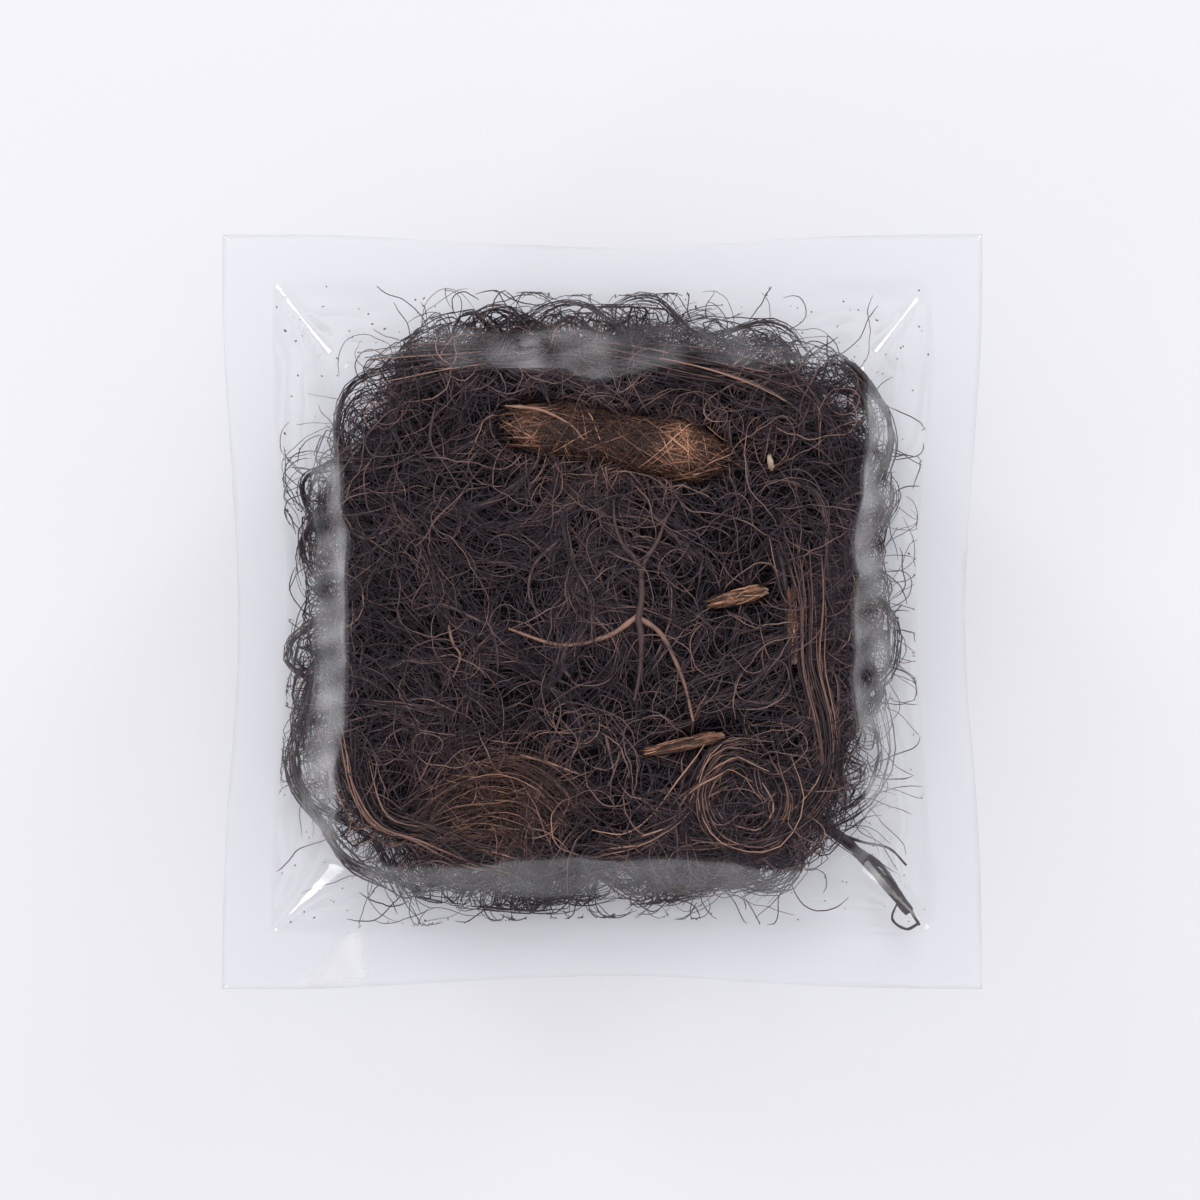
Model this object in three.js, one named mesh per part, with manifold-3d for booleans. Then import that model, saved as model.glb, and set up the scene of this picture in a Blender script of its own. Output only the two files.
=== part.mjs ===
// Dried spikenard root in a heat-sealed clear pouch, lying on its back.
// Millimetres, +Z up. The origin is on the surface under the middle of the pouch.
// +Y runs to the pouch's top edge, and the front film faces up.
import * as THREE from "three";
import { mergeVertices } from "three/addons/utils/BufferGeometryUtils.js";
import Module from "manifold-3d";

const wasm = await Module();
wasm.setup();

// Pouch: two square film panels welded along all four edges
const POUCH_WIDTH = 150;
const POUCH_HEIGHT = 149;
const SEAL_SIDE = 9;
const SEAL_TOP = 8;
const SEAL_BOTTOM = 10.5;
const SIDE_BOW = 3.3; // how far the filled pouch pulls its side edges in at mid height
const END_BOW = 2.6; // and its top and bottom edges at mid width
const FILM = 0.4;
const WELD_GAP = 0.1;
const SEAL_LEVEL = 11; // height of the weld above the surface

// Film profile, from the weld inwards: a slanting skirt, a steep wall, then a nearly flat face
const SKIRT_WIDTH = 7;
const SKIRT_RISE = 4;
const BACK_SKIRT_SHARE = 0.8; // the back skirt drops this much of what the front one rises
const WALL_START = 5;
const WALL_END = 16;
const FRONT_WALL_RISE = 15;
const CROWN_RISE = 1.2;
const CORNER_SHARE = 0.4; // slope of the triangular film facet in each corner, beside that of the walls
const TOP_SHARE = 0.78; // the wall below the top weld leans back more than the others
const HIP_ROUND = 0.9; // rounding of the folds where walls and facets meet
const SHOULDER_WANDER = 1.1;
const FACE_LUMP = 0.7;
const WELD_WAVE = 1.1;
const WAVE_FADE = 9; // inward of the weld the wave dies out over this width

// Root mass: a rounded square tangle that fills the pouch
const MASS_CENTRE = new THREE.Vector2(-1, 1);
const MASS_HALF = 60;
const MASS_SQUARENESS = 3.2;
const CORE_INSET = 4.5;
const CORE_RIM = 3.6; // thickness of the core at its rim
const CORE_COVER = 4.6; // from the film down to the core that the roots stand out of
const FILM_CLEAR = 0.85;
const NEST_GAP = 0.35; // between the tangle and what nests in it
const FRONT_REACH = 0.88; // share of the outline that the front's combed locks reach out to
const BACK_REACH = 0.84;

// Roots
const LOCK_RADIUS = 1.9; // a lock of matted rootlets, drawn as one strand
const BACK_LOCK_RADIUS = 2.9;
const RIM_LOCK_RADIUS = 1.2;
const STRAY_RADIUS = 0.45;
const SINK_SHARE = 0.16; // share of a lock's length over which each end dives into the core
const LAYERING = 0.5; // how much deeper the lowest locks run than the topmost
const SINK_DEPTH = 2.2;
const FRONT_SPACING = 6.2;
const BACK_SPACING = 11;
const SWIRL = 1.1;
const COMB_STRIDE = 7.5;
const COMB_LEAST = 4; // points in the shortest combed lock
const COMB_SPREAD = 4;
const RIM_LOCKS = 12;
const RIM_INSET = 1.9;
const WALL_LOCKS = 7;
const LOW_WALL_INSET = 5.5;
const HIGH_WALL_INSET = 9.4;
const BACK_WALL_INSET = 7;
const RING_POINTS = 6;
const RING_SINK = 6;
const RING_WEAVE = 1;
const STRAYS = 32;
const STRAY_REACH = 7;
const STRAY_MARGIN = 2.4; // how far the tips stay inside the welds
const SEED = 28;

// Colours
const FILM_COLOUR = 0xf1f1f6;
const ROOT_COLOUR = 0x3a2b27;
const SHEATH_COLOUR = 0x6e4a33;
const WOOD_COLOUR = 0x7d5233;
const THICK_ROOT_COLOUR = 0x4c372c;

const MERGE_WITHIN = 0.001; // corners closer than this are one corner

// Small formulas

const clamp01 = (s) => Math.min(1, Math.max(0, s));

function smoothstep(from, to, s) {
  const t = clamp01((s - from) / (to - from));
  return t * t * (3 - 2 * t);
}

function softMin(values, round) {
  const least = Math.min(...values);
  const sum = values.reduce((total, v) => total + Math.exp((least - v) / round), 0);
  return least - round * Math.log(sum);
}

// A smooth uneven field between about -1 and 1, with lumps some 20 to 40 mm apart
function unevenness(x, y) {
  const broad = Math.sin(0.17 * x + 0.09 * y + 0.6) * Math.cos(0.12 * y - 0.05 * x + 1.1);
  const fine = Math.sin(0.31 * x - 0.22 * y + 2.3) * Math.cos(0.27 * y + 0.13 * x);
  return 0.6 * broad + 0.4 * fine;
}

// Numbers from 0 to 1 that are the same on every run
function seededRandom(seed) {
  let state = seed;
  return () => {
    state = (state + 0x6d2b79f5) | 0;
    let mixed = Math.imul(state ^ (state >>> 15), 1 | state);
    mixed = (mixed + Math.imul(mixed ^ (mixed >>> 7), 61 | mixed)) ^ mixed;
    return ((mixed ^ (mixed >>> 14)) >>> 0) / 4294967296;
  };
}

// Pouch surfaces

const halfWidthAt = (y) => POUCH_WIDTH / 2 - SIDE_BOW * Math.cos((Math.PI * y) / POUCH_HEIGHT) ** 3;
const halfHeightAt = (x) => POUCH_HEIGHT / 2 - END_BOW * Math.cos((Math.PI * x) / POUCH_WIDTH) ** 3;

// How far a point lies inside the welds, measured so that equal depths are equal film heights
function depthInside(x, y) {
  const left = halfWidthAt(y) - SEAL_SIDE + x;
  const right = halfWidthAt(y) - SEAL_SIDE - x;
  const top = halfHeightAt(x) - SEAL_TOP - y;
  const bottom = halfHeightAt(x) - SEAL_BOTTOM + y;
  const corners = [left + top, right + top, left + bottom, right + bottom];
  const walls = [left, right, top * TOP_SHARE, bottom];
  const depth = softMin([...walls, ...corners.map((c) => c * CORNER_SHARE)], HIP_ROUND);
  return Math.max(0, depth);
}

function weldHeight(x, y) {
  const along = Math.sin(0.075 * x + 0.4) * Math.cos(0.06 * y - 0.3) + 0.5 * Math.sin(0.13 * (x - y));
  return SEAL_LEVEL + WELD_WAVE * along * (1 - smoothstep(0, WAVE_FADE, depthInside(x, y)));
}

const skirt = (depth) => Math.sin((Math.PI / 2) * clamp01(depth / SKIRT_WIDTH));

// Inner face of the front film
function frontInside(x, y) {
  const depth = depthInside(x, y);
  const shifted = depth + SHOULDER_WANDER * unevenness(x, y) * smoothstep(0, WALL_START, depth);
  const face = smoothstep(WALL_START, WALL_END, shifted);
  const crown = CROWN_RISE * clamp01(1 - (x * x + y * y) / (MASS_HALF * MASS_HALF));
  const lump = FACE_LUMP * unevenness(x + 40, y - 25);
  const rise = SKIRT_RISE * skirt(depth) + FRONT_WALL_RISE * face + (crown + lump) * face;
  return weldHeight(x, y) + WELD_GAP / 2 + rise;
}

// Inner face of the back film, flat where the pouch rests on the surface
function backInside(x, y) {
  const depth = depthInside(x, y);
  const fullDrop = SEAL_LEVEL - WELD_GAP / 2 - FILM;
  const skirtDrop = SKIRT_RISE * BACK_SKIRT_SHARE;
  const drop = skirtDrop * skirt(depth) + (fullDrop - skirtDrop) * smoothstep(WALL_START, WALL_END, depth);
  return weldHeight(x, y) - WELD_GAP / 2 - drop;
}

function upwardNormal(height, x, y) {
  const step = 0.05;
  const slopeX = (height(x + step, y) - height(x - step, y)) / (2 * step);
  const slopeY = (height(x, y + step) - height(x, y - step)) / (2 * step);
  return new THREE.Vector3(-slopeX, -slopeY, 1).normalize();
}

// The height that lies a given distance under the front film, or over the back film, measured square to it
const underFront = (x, y, distance) => frontInside(x, y) - distance / upwardNormal(frontInside, x, y).z;
const overBack = (x, y, distance) => backInside(x, y) + distance / upwardNormal(backInside, x, y).z;

// Solids

function geometryFrom(positions, indices) {
  const geometry = new THREE.BufferGeometry();
  geometry.setAttribute("position", new THREE.Float32BufferAttribute(positions.flat(), 3));
  geometry.setIndex(indices);
  return geometry;
}

function solidFrom(geometry) {
  const vertProperties = new Float32Array(geometry.getAttribute("position").array);
  const triVerts = new Uint32Array(geometry.index.array);
  return new wasm.Manifold(new wasm.Mesh({ numProp: 3, vertProperties, triVerts }));
}

function geometryOf(solid) {
  const mesh = solid.getMesh();
  const geometry = new THREE.BufferGeometry();
  geometry.setAttribute("position", new THREE.BufferAttribute(mesh.vertProperties, 3));
  geometry.setIndex(new THREE.BufferAttribute(mesh.triVerts, 1));
  return geometry;
}

const fuse = (solids) => solids.reduce((whole, next) => whole.add(next));

// The main body of a solid, without scraps that a cut left loose or pockets that strands close off
function mainBody(solid) {
  const main = (whole) => whole.decompose().reduce((a, b) => (b.volume() > a.volume() ? b : a));
  const merged = mergeVertices(geometryOf(main(solid)), MERGE_WITHIN);
  return main(solidFrom(merged));
}

// A round body along a curve: rings of radiusAt(share, angle), each end closed by a flat cap
function tubeAlong(points, radiusAt, sides, steps) {
  const curve = new THREE.CatmullRomCurve3(points, false, "centripetal");
  const frames = curve.computeFrenetFrames(steps, false);
  const positions = [];
  for (let i = 0; i <= steps; i++) {
    const centre = curve.getPointAt(i / steps);
    for (let k = 0; k < sides; k++) {
      const angle = (2 * Math.PI * k) / sides;
      const radius = radiusAt(i / steps, angle);
      const point = centre.clone();
      point.addScaledVector(frames.normals[i], radius * Math.cos(angle));
      point.addScaledVector(frames.binormals[i], radius * Math.sin(angle));
      positions.push(point.toArray());
    }
  }
  const indices = [];
  for (let i = 0; i < steps; i++) {
    for (let k = 0; k < sides; k++) {
      const a = i * sides + k;
      const b = i * sides + ((k + 1) % sides);
      indices.push(a, b, b + sides, a, b + sides, a + sides);
    }
  }
  const last = steps * sides;
  for (let k = 1; k < sides - 1; k++) {
    indices.push(0, k + 1, k);
    indices.push(last, last + k, last + k + 1);
  }
  return geometryFrom(positions, indices);
}

// Film panels: the same grid on both faces, fine across the skirt and wall and coarse over the flat.
// Spare thickens a panel inwards, for pressing clear what lies against it.

const SLOPE_LINES = [0, SEAL_SIDE, 12, 15, 18, 21, 24, 27.5, 33];
const FLAT_LINES = 5;

function gridLines(half, flatCount) {
  const rising = SLOPE_LINES.map((inset) => inset / half - 1);
  const edge = rising[rising.length - 1];
  const flat = Array.from({ length: flatCount }, (_, i) => edge - (2 * edge * (i + 1)) / (flatCount + 1));
  return [...rising, ...flat, ...rising.map((s) => -s).reverse()];
}

function filmPanel(inside, outward, spare = 0) {
  const across = gridLines(POUCH_WIDTH / 2, FLAT_LINES);
  const up = gridLines(POUCH_HEIGHT / 2, FLAT_LINES);
  const inner = [];
  const outer = [];
  for (const v of up) {
    for (const u of across) {
      const x = u * halfWidthAt((v * POUCH_HEIGHT) / 2);
      const y = v * halfHeightAt((u * POUCH_WIDTH) / 2);
      const face = new THREE.Vector3(x, y, inside(x, y));
      const away = upwardNormal(inside, x, y).multiplyScalar(outward);
      inner.push(face.clone().addScaledVector(away, -spare).toArray());
      outer.push(face.clone().addScaledVector(away, FILM).toArray());
    }
  }
  const [lower, upper] = outward > 0 ? [inner, outer] : [outer, inner];
  const columns = across.length;
  const above = lower.length;
  const indices = [];
  for (let j = 0; j < up.length - 1; j++) {
    for (let i = 0; i < columns - 1; i++) {
      const a = j * columns + i;
      const b = a + 1;
      const c = a + columns + 1;
      const d = a + columns;
      indices.push(a, c, b, a, d, c);
      indices.push(above + a, above + b, above + c, above + a, above + c, above + d);
    }
  }
  const border = [];
  for (let i = 0; i < columns - 1; i++) border.push(i);
  for (let j = 0; j < up.length - 1; j++) border.push(j * columns + columns - 1);
  for (let i = columns - 1; i > 0; i--) border.push((up.length - 1) * columns + i);
  for (let j = up.length - 1; j > 0; j--) border.push(j * columns);
  border.forEach((a, k) => {
    const b = border[(k + 1) % border.length];
    indices.push(a, b, above + b, a, above + b, above + a);
  });
  return geometryFrom([...lower, ...upper], indices);
}

// Root mass outline

function massRadius(angle) {
  const c = Math.abs(Math.cos(angle)) ** MASS_SQUARENESS;
  const s = Math.abs(Math.sin(angle)) ** MASS_SQUARENESS;
  return MASS_HALF / (c + s) ** (1 / MASS_SQUARENESS);
}

// Hollows in the front of the tangle, where the film bridges a dark gap
const HOLLOWS = [
  { x: 17, y: 43, radius: 7, depth: 4 },
  { x: -13, y: -20, radius: 8, depth: 4 },
  { x: 19, y: -26, radius: 8, depth: 4 },
  { x: 26, y: 6, radius: 7, depth: 3.5 },
  { x: -35, y: -37, radius: 7, depth: 3.5 },
  { x: -30, y: 37, radius: 7, depth: 3 },
];

function hollowAt(x, y) {
  return HOLLOWS.reduce((total, h) => {
    const squared = ((x - h.x) ** 2 + (y - h.y) ** 2) / (h.radius * h.radius);
    return total + h.depth * Math.exp(-squared);
  }, 0);
}

// The dense heart of the tangle, which the visible roots stand out of
function tangleCore() {
  const rings = [0.3, 0.55, 0.75, 0.88, 0.96, 1];
  const sectors = 24;
  const at = (share, sector) => {
    const angle = (2 * Math.PI * sector) / sectors;
    const radius = share * (massRadius(angle) - CORE_INSET);
    return [MASS_CENTRE.x + radius * Math.cos(angle), MASS_CENTRE.y + radius * Math.sin(angle)];
  };
  const fullness = (share) => Math.sqrt(1 - share ** 8);
  const raised = (x, y, share) => {
    const top = underFront(x, y, CORE_COVER) - hollowAt(x, y);
    return THREE.MathUtils.lerp(SEAL_LEVEL + CORE_RIM / 2, top, fullness(share));
  };
  const lowered = (x, y, share) => {
    const bottom = overBack(x, y, CORE_COVER);
    return THREE.MathUtils.lerp(SEAL_LEVEL - CORE_RIM / 2, bottom, fullness(share));
  };
  const positions = [];
  const addFace = (height) => {
    const [cx, cy] = at(0, 0);
    positions.push([cx, cy, height(cx, cy, 0)]);
    for (const share of rings) {
      for (let k = 0; k < sectors; k++) {
        const [x, y] = at(share, k);
        positions.push([x, y, height(x, y, share)]);
      }
    }
  };
  addFace(raised);
  const below = positions.length;
  addFace(lowered);
  const indices = [];
  const addTriangle = (a, b, c, flip) => indices.push(...(flip ? [a, c, b] : [a, b, c]));
  for (const [start, flip] of [[0, false], [below, true]]) {
    for (let k = 0; k < sectors; k++) {
      const next = (k + 1) % sectors;
      addTriangle(start, start + 1 + k, start + 1 + next, flip);
      for (let r = 0; r < rings.length - 1; r++) {
        const inner = start + 1 + r * sectors;
        const outer = inner + sectors;
        addTriangle(inner + k, outer + k, outer + next, flip);
        addTriangle(inner + k, outer + next, inner + next, flip);
      }
    }
  }
  const topRim = below - sectors;
  const bottomRim = positions.length - sectors;
  for (let k = 0; k < sectors; k++) {
    const next = (k + 1) % sectors;
    addTriangle(bottomRim + k, bottomRim + next, topRim + next, false);
    addTriangle(bottomRim + k, topRim + next, topRim + k, false);
  }
  return solidFrom(geometryFrom(positions, indices));
}

// Pieces that nest in the tangle. Each returns its geometry, grown by spare on all sides.

const pointUnderFront = (x, y, distance) => new THREE.Vector3(x, y, underFront(x, y, distance));
const onWeld = (x, y) => new THREE.Vector3(x, y, weldHeight(x, y));

// A crown of the plant, wrapped in a twisted sheath of old leaf fibres
const RHIZOME_RADIUS = 5.6;
const RHIZOME_AXIS = [[-17, 36], [-6, 35], [4, 33], [14, 31], [23, 29.5]];
function tuftedRhizome(spare = 0) {
  const sunk = RHIZOME_RADIUS + 1.2;
  const points = RHIZOME_AXIS.map(([x, y]) => pointUnderFront(x, y, sunk));
  const swell = (s) => 0.5 + 0.5 * Math.sin(Math.PI * (0.12 + 0.76 * s)) ** 0.7;
  const ridges = (s, angle) => 1 + 0.09 * Math.cos(6 * angle + 9 * s) + 0.05 * Math.sin(11 * s + angle);
  return tubeAlong(points, (s, angle) => RHIZOME_RADIUS * swell(s) * ridges(s, angle) + spare, 18, 14);
}

// A long root that forks over the middle of the tangle
function forkedRoot(spare = 0) {
  const radius = 0.95;
  const depth = FILM_CLEAR + radius + 0.25;
  const branch = (plan) => {
    const points = plan.map(([x, y]) => pointUnderFront(x, y, depth));
    const taper = (s) => radius * (1 - 0.35 * s) + spare;
    return solidFrom(tubeAlong(points, taper, 6, 9));
  };
  const stem = branch([[6.8, -1.5], [6.5, 5], [3.5, 13], [-1, 24]]);
  const left = branch([[6.8, -1], [1, -5], [-8, -6.5], [-18, -3.5]]);
  const right = branch([[6.8, -1], [11.5, -4.5], [15.5, -13], [17.5, -21]]);
  return geometryOf(fuse([stem, left, right]));
}

// A thick cut root that reaches out of the tangle towards a corner of the pouch
function cornerRoot(spare = 0) {
  const points = [[44, -42], [49.5, -46.5], [55, -52.5], [61, -59.5]].map(([x, y]) => onWeld(x, y));
  return tubeAlong(points, (s) => 0.95 + 0.15 * Math.sin(3 * s) + spare, 7, 7);
}

// Short broken pieces of woody stem, with a rough split end
const STUBS = {
  wood_stub_upper: { from: [21, 1.6], to: [31.5, 4.4], radius: 1.9, sunk: 3.4 },
  wood_stub_lower: { from: [8.5, -27], to: [23, -23.7], radius: 1.45, sunk: 3 },
  wood_stub_side: { from: [36, 4], to: [37, -9.5], radius: 1.5, sunk: 2.6 },
};
function woodStub({ from, to, radius, sunk }, spare = 0) {
  const middle = [(from[0] + to[0]) / 2, (from[1] + to[1]) / 2];
  const points = [from, middle, to].map(([x, y]) => pointUnderFront(x, y, sunk));
  const split = (s, angle) => 0.62 + 0.38 * smoothstep(0, 0.35, s) + 0.08 * Math.cos(3 * angle + 4 * s);
  return tubeAlong(points, (s, angle) => radius * split(s, angle) + spare, 9, 6);
}

// The tangle of roots

// The hanks that stand out most on the front, each as points in plan
const FRONT_LOCKS = [
  [[36, 14], [38.5, 2], [39.5, -10], [43, -21], [44, -31], [39, -40], [29, -45], [16, -46]],
  [[31, -29], [24, -28], [20, -35], [23, -42], [31, -43], [34, -37], [31, -31]],
  [[24, -29], [19, -34], [13, -40], [6, -45], [0, -47]],
  [[-50, -22], [-47, -33], [-42, -40], [-34, -42], [-24, -45], [-17, -46]],
  [[-43, 44], [-28, 48], [-8, 50], [12, 48], [30, 44], [41, 38]],
];

const TRIANGLE = 3;
const HANK_STEPS = 11;

// A lock that rises out of the core, runs along at its own level and sinks in again at its other end
function lockAlong(plan, radius, steps, runHeight, sunkHeight) {
  const flat = plan.map(([x, y]) => new THREE.Vector3(x, y, 0));
  const route = new THREE.CatmullRomCurve3(flat, false, "centripetal");
  const points = route.getSpacedPoints(steps).map(({ x, y }, i) => {
    const fromEnd = Math.min(i, steps - i) / steps;
    const buried = 1 - smoothstep(0, SINK_SHARE, fromEnd);
    return new THREE.Vector3(x, y, THREE.MathUtils.lerp(runHeight(x, y), sunkHeight(x, y), buried));
  });
  const taper = (s) => radius * (0.55 + 0.45 * Math.sin(Math.PI * s));
  return solidFrom(tubeAlong(points, taper, TRIANGLE, steps));
}

const massShare = (x, y) => {
  const dx = x - MASS_CENTRE.x;
  const dy = y - MASS_CENTRE.y;
  return Math.hypot(dx, dy) / massRadius(Math.atan2(dy, dx));
};

// The tangle is combed in rows that swirl: a point given along and across the rows, in plan
function swirled(along, across) {
  const waved = across + 3.5 * Math.sin(0.075 * along + 0.06 * across);
  const turn = SWIRL * (1.25 - Math.hypot(along, waved) / MASS_HALF);
  const x = MASS_CENTRE.x + along * Math.cos(turn) - waved * Math.sin(turn);
  const y = MASS_CENTRE.y + along * Math.sin(turn) + waved * Math.cos(turn);
  return [x, y];
}

// Plans of the combed locks: each row is broken into locks of uneven length that follow one another
function combedPlans(random, area, spacing) {
  const plans = [];
  for (let across = -MASS_HALF; across <= MASS_HALF; across += spacing) {
    let plan = [];
    let length = COMB_LEAST;
    for (let along = -MASS_HALF - 20 * random(); along <= MASS_HALF; along += COMB_STRIDE) {
      const [x, y] = swirled(along, across);
      const inside = area(x, y);
      if (inside) plan.push([x, y]);
      if (inside && plan.length < length) continue;
      if (plan.length >= COMB_LEAST) plans.push(plan);
      plan = inside ? [[x, y]] : [];
      length = COMB_LEAST + Math.floor(COMB_SPREAD * random());
    }
  }
  return plans;
}

// Locks that run round the mass at an inset from its outline, each weaving in and out and sunk in at its ends
function ringLocks(random, count, inset, radius, heightAt) {
  return Array.from({ length: count }, (_, i) => {
    const first = (2 * Math.PI * (i + 0.4 * random())) / count;
    const span = (2 * Math.PI * (0.9 + 0.3 * random())) / count;
    const phase = 2 * Math.PI * random();
    const plan = Array.from({ length: RING_POINTS }, (_, k) => {
      const angle = first + (span * k) / (RING_POINTS - 1);
      const isEnd = k === 0 || k === RING_POINTS - 1;
      const moved = isEnd ? RING_SINK : RING_WEAVE * Math.sin(phase + 2.1 * k);
      const reach = massRadius(angle) - inset - moved;
      return [MASS_CENTRE.x + reach * Math.cos(angle), MASS_CENTRE.y + reach * Math.sin(angle)];
    });
    const sunk = (x, y) => THREE.MathUtils.lerp(heightAt(x, y), SEAL_LEVEL, 0.4);
    return lockAlong(plan, radius, RING_POINTS + 1, heightAt, sunk);
  });
}

// Fine rootlets that stick out past the rim into the clear margin
function strays(random, count) {
  const found = [];
  for (let i = 0; i < count; i++) {
    const angle = (2 * Math.PI * (i + 0.7 * random())) / count;
    const rim = massRadius(angle);
    const reach = STRAY_REACH * (0.3 + 0.7 * random());
    const lean = (random() - 0.5) * 0.16;
    const bend = (random() - 0.5) * 0.1;
    const at = (radius, turned) => {
      const x = MASS_CENTRE.x + radius * Math.cos(angle + turned);
      const y = MASS_CENTRE.y + radius * Math.sin(angle + turned);
      return onWeld(x, y);
    };
    const points = [at(rim - CORE_INSET - 5, 0), at(rim - 2, lean), at(rim + 0.5 * reach, lean + bend)];
    const tip = at(rim + reach, lean + 2.2 * bend);
    if (depthInside(tip.x, tip.y) < STRAY_MARGIN) continue;
    found.push(solidFrom(tubeAlong([...points, tip], (s) => STRAY_RADIUS * (1 - 0.5 * s), TRIANGLE, 4)));
  }
  return found;
}

function rootTangle() {
  const random = seededRandom(SEED);
  const sunkUnderFront = (x, y) => underFront(x, y, CORE_COVER + SINK_DEPTH) - hollowAt(x, y);
  const sunkOverBack = (x, y) => overBack(x, y, CORE_COVER + SINK_DEPTH);
  const frontLock = (plan, steps) => {
    const layer = FILM_CLEAR + LOCK_RADIUS + LAYERING * random();
    const run = (x, y) => underFront(x, y, layer) - 0.6 * hollowAt(x, y);
    return lockAlong(plan, LOCK_RADIUS, steps, run, sunkUnderFront);
  };
  const backLock = (plan, steps) => {
    const layer = FILM_CLEAR + BACK_LOCK_RADIUS + LAYERING * random();
    return lockAlong(plan, BACK_LOCK_RADIUS, steps, (x, y) => overBack(x, y, layer), sunkOverBack);
  };
  const onFrontWall = (x, y) => underFront(x, y, FILM_CLEAR + RIM_LOCK_RADIUS);
  const onBackWall = (x, y) => overBack(x, y, FILM_CLEAR + RIM_LOCK_RADIUS);
  const rhizomeBox = new THREE.Box3().setFromBufferAttribute(tuftedRhizome(1.5).getAttribute("position"));
  const beside = (x, y) => !rhizomeBox.containsPoint(new THREE.Vector3(x, y, rhizomeBox.max.z));
  const onFront = (x, y) => massShare(x, y) < FRONT_REACH && beside(x, y);
  const onBack = (x, y) => massShare(x, y) < BACK_REACH;
  const solids = [
    tangleCore(),
    ...FRONT_LOCKS.map((plan) => frontLock(plan, HANK_STEPS)),
    ...ringLocks(random, RIM_LOCKS, RIM_INSET, RIM_LOCK_RADIUS, weldHeight),
    ...ringLocks(random, WALL_LOCKS, LOW_WALL_INSET, RIM_LOCK_RADIUS, onFrontWall),
    ...ringLocks(random, WALL_LOCKS, HIGH_WALL_INSET, RIM_LOCK_RADIUS, onFrontWall),
    ...ringLocks(random, WALL_LOCKS, BACK_WALL_INSET, RIM_LOCK_RADIUS, onBackWall),
    ...combedPlans(random, onFront, FRONT_SPACING).map((plan) => frontLock(plan, plan.length - 1)),
    ...combedPlans(random, onBack, BACK_SPACING).map((plan) => backLock(plan, plan.length - 1)),
    ...strays(random, STRAYS),
  ];
  const nests = [tuftedRhizome(NEST_GAP), forkedRoot(NEST_GAP), cornerRoot(NEST_GAP)];
  for (const stub of Object.values(STUBS)) nests.push(woodStub(stub, NEST_GAP));
  nests.push(filmPanel(frontInside, 1, NEST_GAP), filmPanel(backInside, -1, NEST_GAP));
  const tangle = nests.reduce((whole, nest) => whole.subtract(solidFrom(nest)), fuse(solids));
  return geometryOf(mainBody(tangle));
}

// Assembly

function material(color, roughness, opacity = 1) {
  const transparent = opacity < 1;
  return new THREE.MeshStandardMaterial({ color, roughness, metalness: 0, opacity, transparent });
}

const filmMaterial = material(FILM_COLOUR, 0.12, 0.2);
const rootMaterial = material(ROOT_COLOUR, 0.75);
const sheathMaterial = material(SHEATH_COLOUR, 0.7);
const woodMaterial = material(WOOD_COLOUR, 0.8);
const thickRootMaterial = material(THICK_ROOT_COLOUR, 0.7);

const pouch = new THREE.Group();

function addPiece(name, geometry, finish) {
  const mesh = new THREE.Mesh(geometry, finish);
  mesh.name = name;
  pouch.add(mesh);
}

addPiece("pouch_back_film", filmPanel(backInside, -1), filmMaterial);
addPiece("root_tangle", rootTangle(), rootMaterial);
addPiece("tufted_rhizome", tuftedRhizome(), sheathMaterial);
addPiece("forked_root", forkedRoot(), thickRootMaterial);
addPiece("corner_root", cornerRoot(), thickRootMaterial);
for (const [name, stub] of Object.entries(STUBS)) addPiece(name, woodStub(stub), woodMaterial);
addPiece("pouch_front_film", filmPanel(frontInside, 1), filmMaterial);

export default pouch;
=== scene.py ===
import math

import bpy
import numpy as np
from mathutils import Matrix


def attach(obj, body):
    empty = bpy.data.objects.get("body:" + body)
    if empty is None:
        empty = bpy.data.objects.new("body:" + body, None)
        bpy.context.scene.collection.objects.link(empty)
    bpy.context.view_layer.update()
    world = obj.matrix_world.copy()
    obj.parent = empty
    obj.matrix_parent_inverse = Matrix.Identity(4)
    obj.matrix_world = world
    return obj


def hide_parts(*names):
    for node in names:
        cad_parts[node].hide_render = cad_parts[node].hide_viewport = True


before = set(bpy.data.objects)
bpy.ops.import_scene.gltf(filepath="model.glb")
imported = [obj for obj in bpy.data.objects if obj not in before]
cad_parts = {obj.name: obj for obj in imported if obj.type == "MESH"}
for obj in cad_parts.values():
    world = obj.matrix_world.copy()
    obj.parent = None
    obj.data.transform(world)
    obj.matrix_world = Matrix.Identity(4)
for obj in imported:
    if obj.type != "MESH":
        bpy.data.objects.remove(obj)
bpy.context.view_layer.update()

# Back film of the pouch: a square of clear film that the pouch lies on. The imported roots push
# it down to a nearly flat base, and a weld on all four edges joins it to the front film.
MM = 0.001
POUCH_WIDTH = 150.0
POUCH_HEIGHT = 149.0
SEAL_SIDE = 9.0
SEAL_TOP = 8.0
SEAL_BOTTOM = 10.5
SIDE_BOW = 3.3
END_BOW = 2.6
SOLID_FILM = 0.4
THIN_FILM = 0.12
WELD_GAP = 0.1
SEAL_LEVEL = 11.0
SKIRT_WIDTH = 7.0
SKIRT_RISE = 4.0
BACK_SKIRT_SHARE = 0.8
WALL_START = 5.0
WALL_END = 16.0
FRONT_WALL_RISE = 15.0
CROWN_RISE = 1.2
CORNER_SHARE = 0.4
TOP_SHARE = 0.78
HIP_ROUND = 0.9
SHOULDER_WANDER = 1.1
FACE_LUMP = 0.7
WELD_WAVE = 1.1
WAVE_FADE = 9.0
MASS_HALF = 60.0
CUT_EDGE_HAZE = 3.0
# Painted highlight: corners of the triangle on the bottom weld that is given white haze, and how
# many times the weld's haze it gets
PAINTED_HIGHLIGHT_FACET = [(-48.0, -61.5), (-60.5, -74.0), (-46.5, -72.5)]
FACET_PAINTED_HIGHLIGHT = 20.0
WELD_HAZE = 0.03
BACK_CELLS = 80
FRONT_CELLS = 144


def smoothstep(low, high, value):
    share = np.clip((value - low) / (high - low), 0, 1)
    return share * share * (3 - 2 * share)


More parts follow.
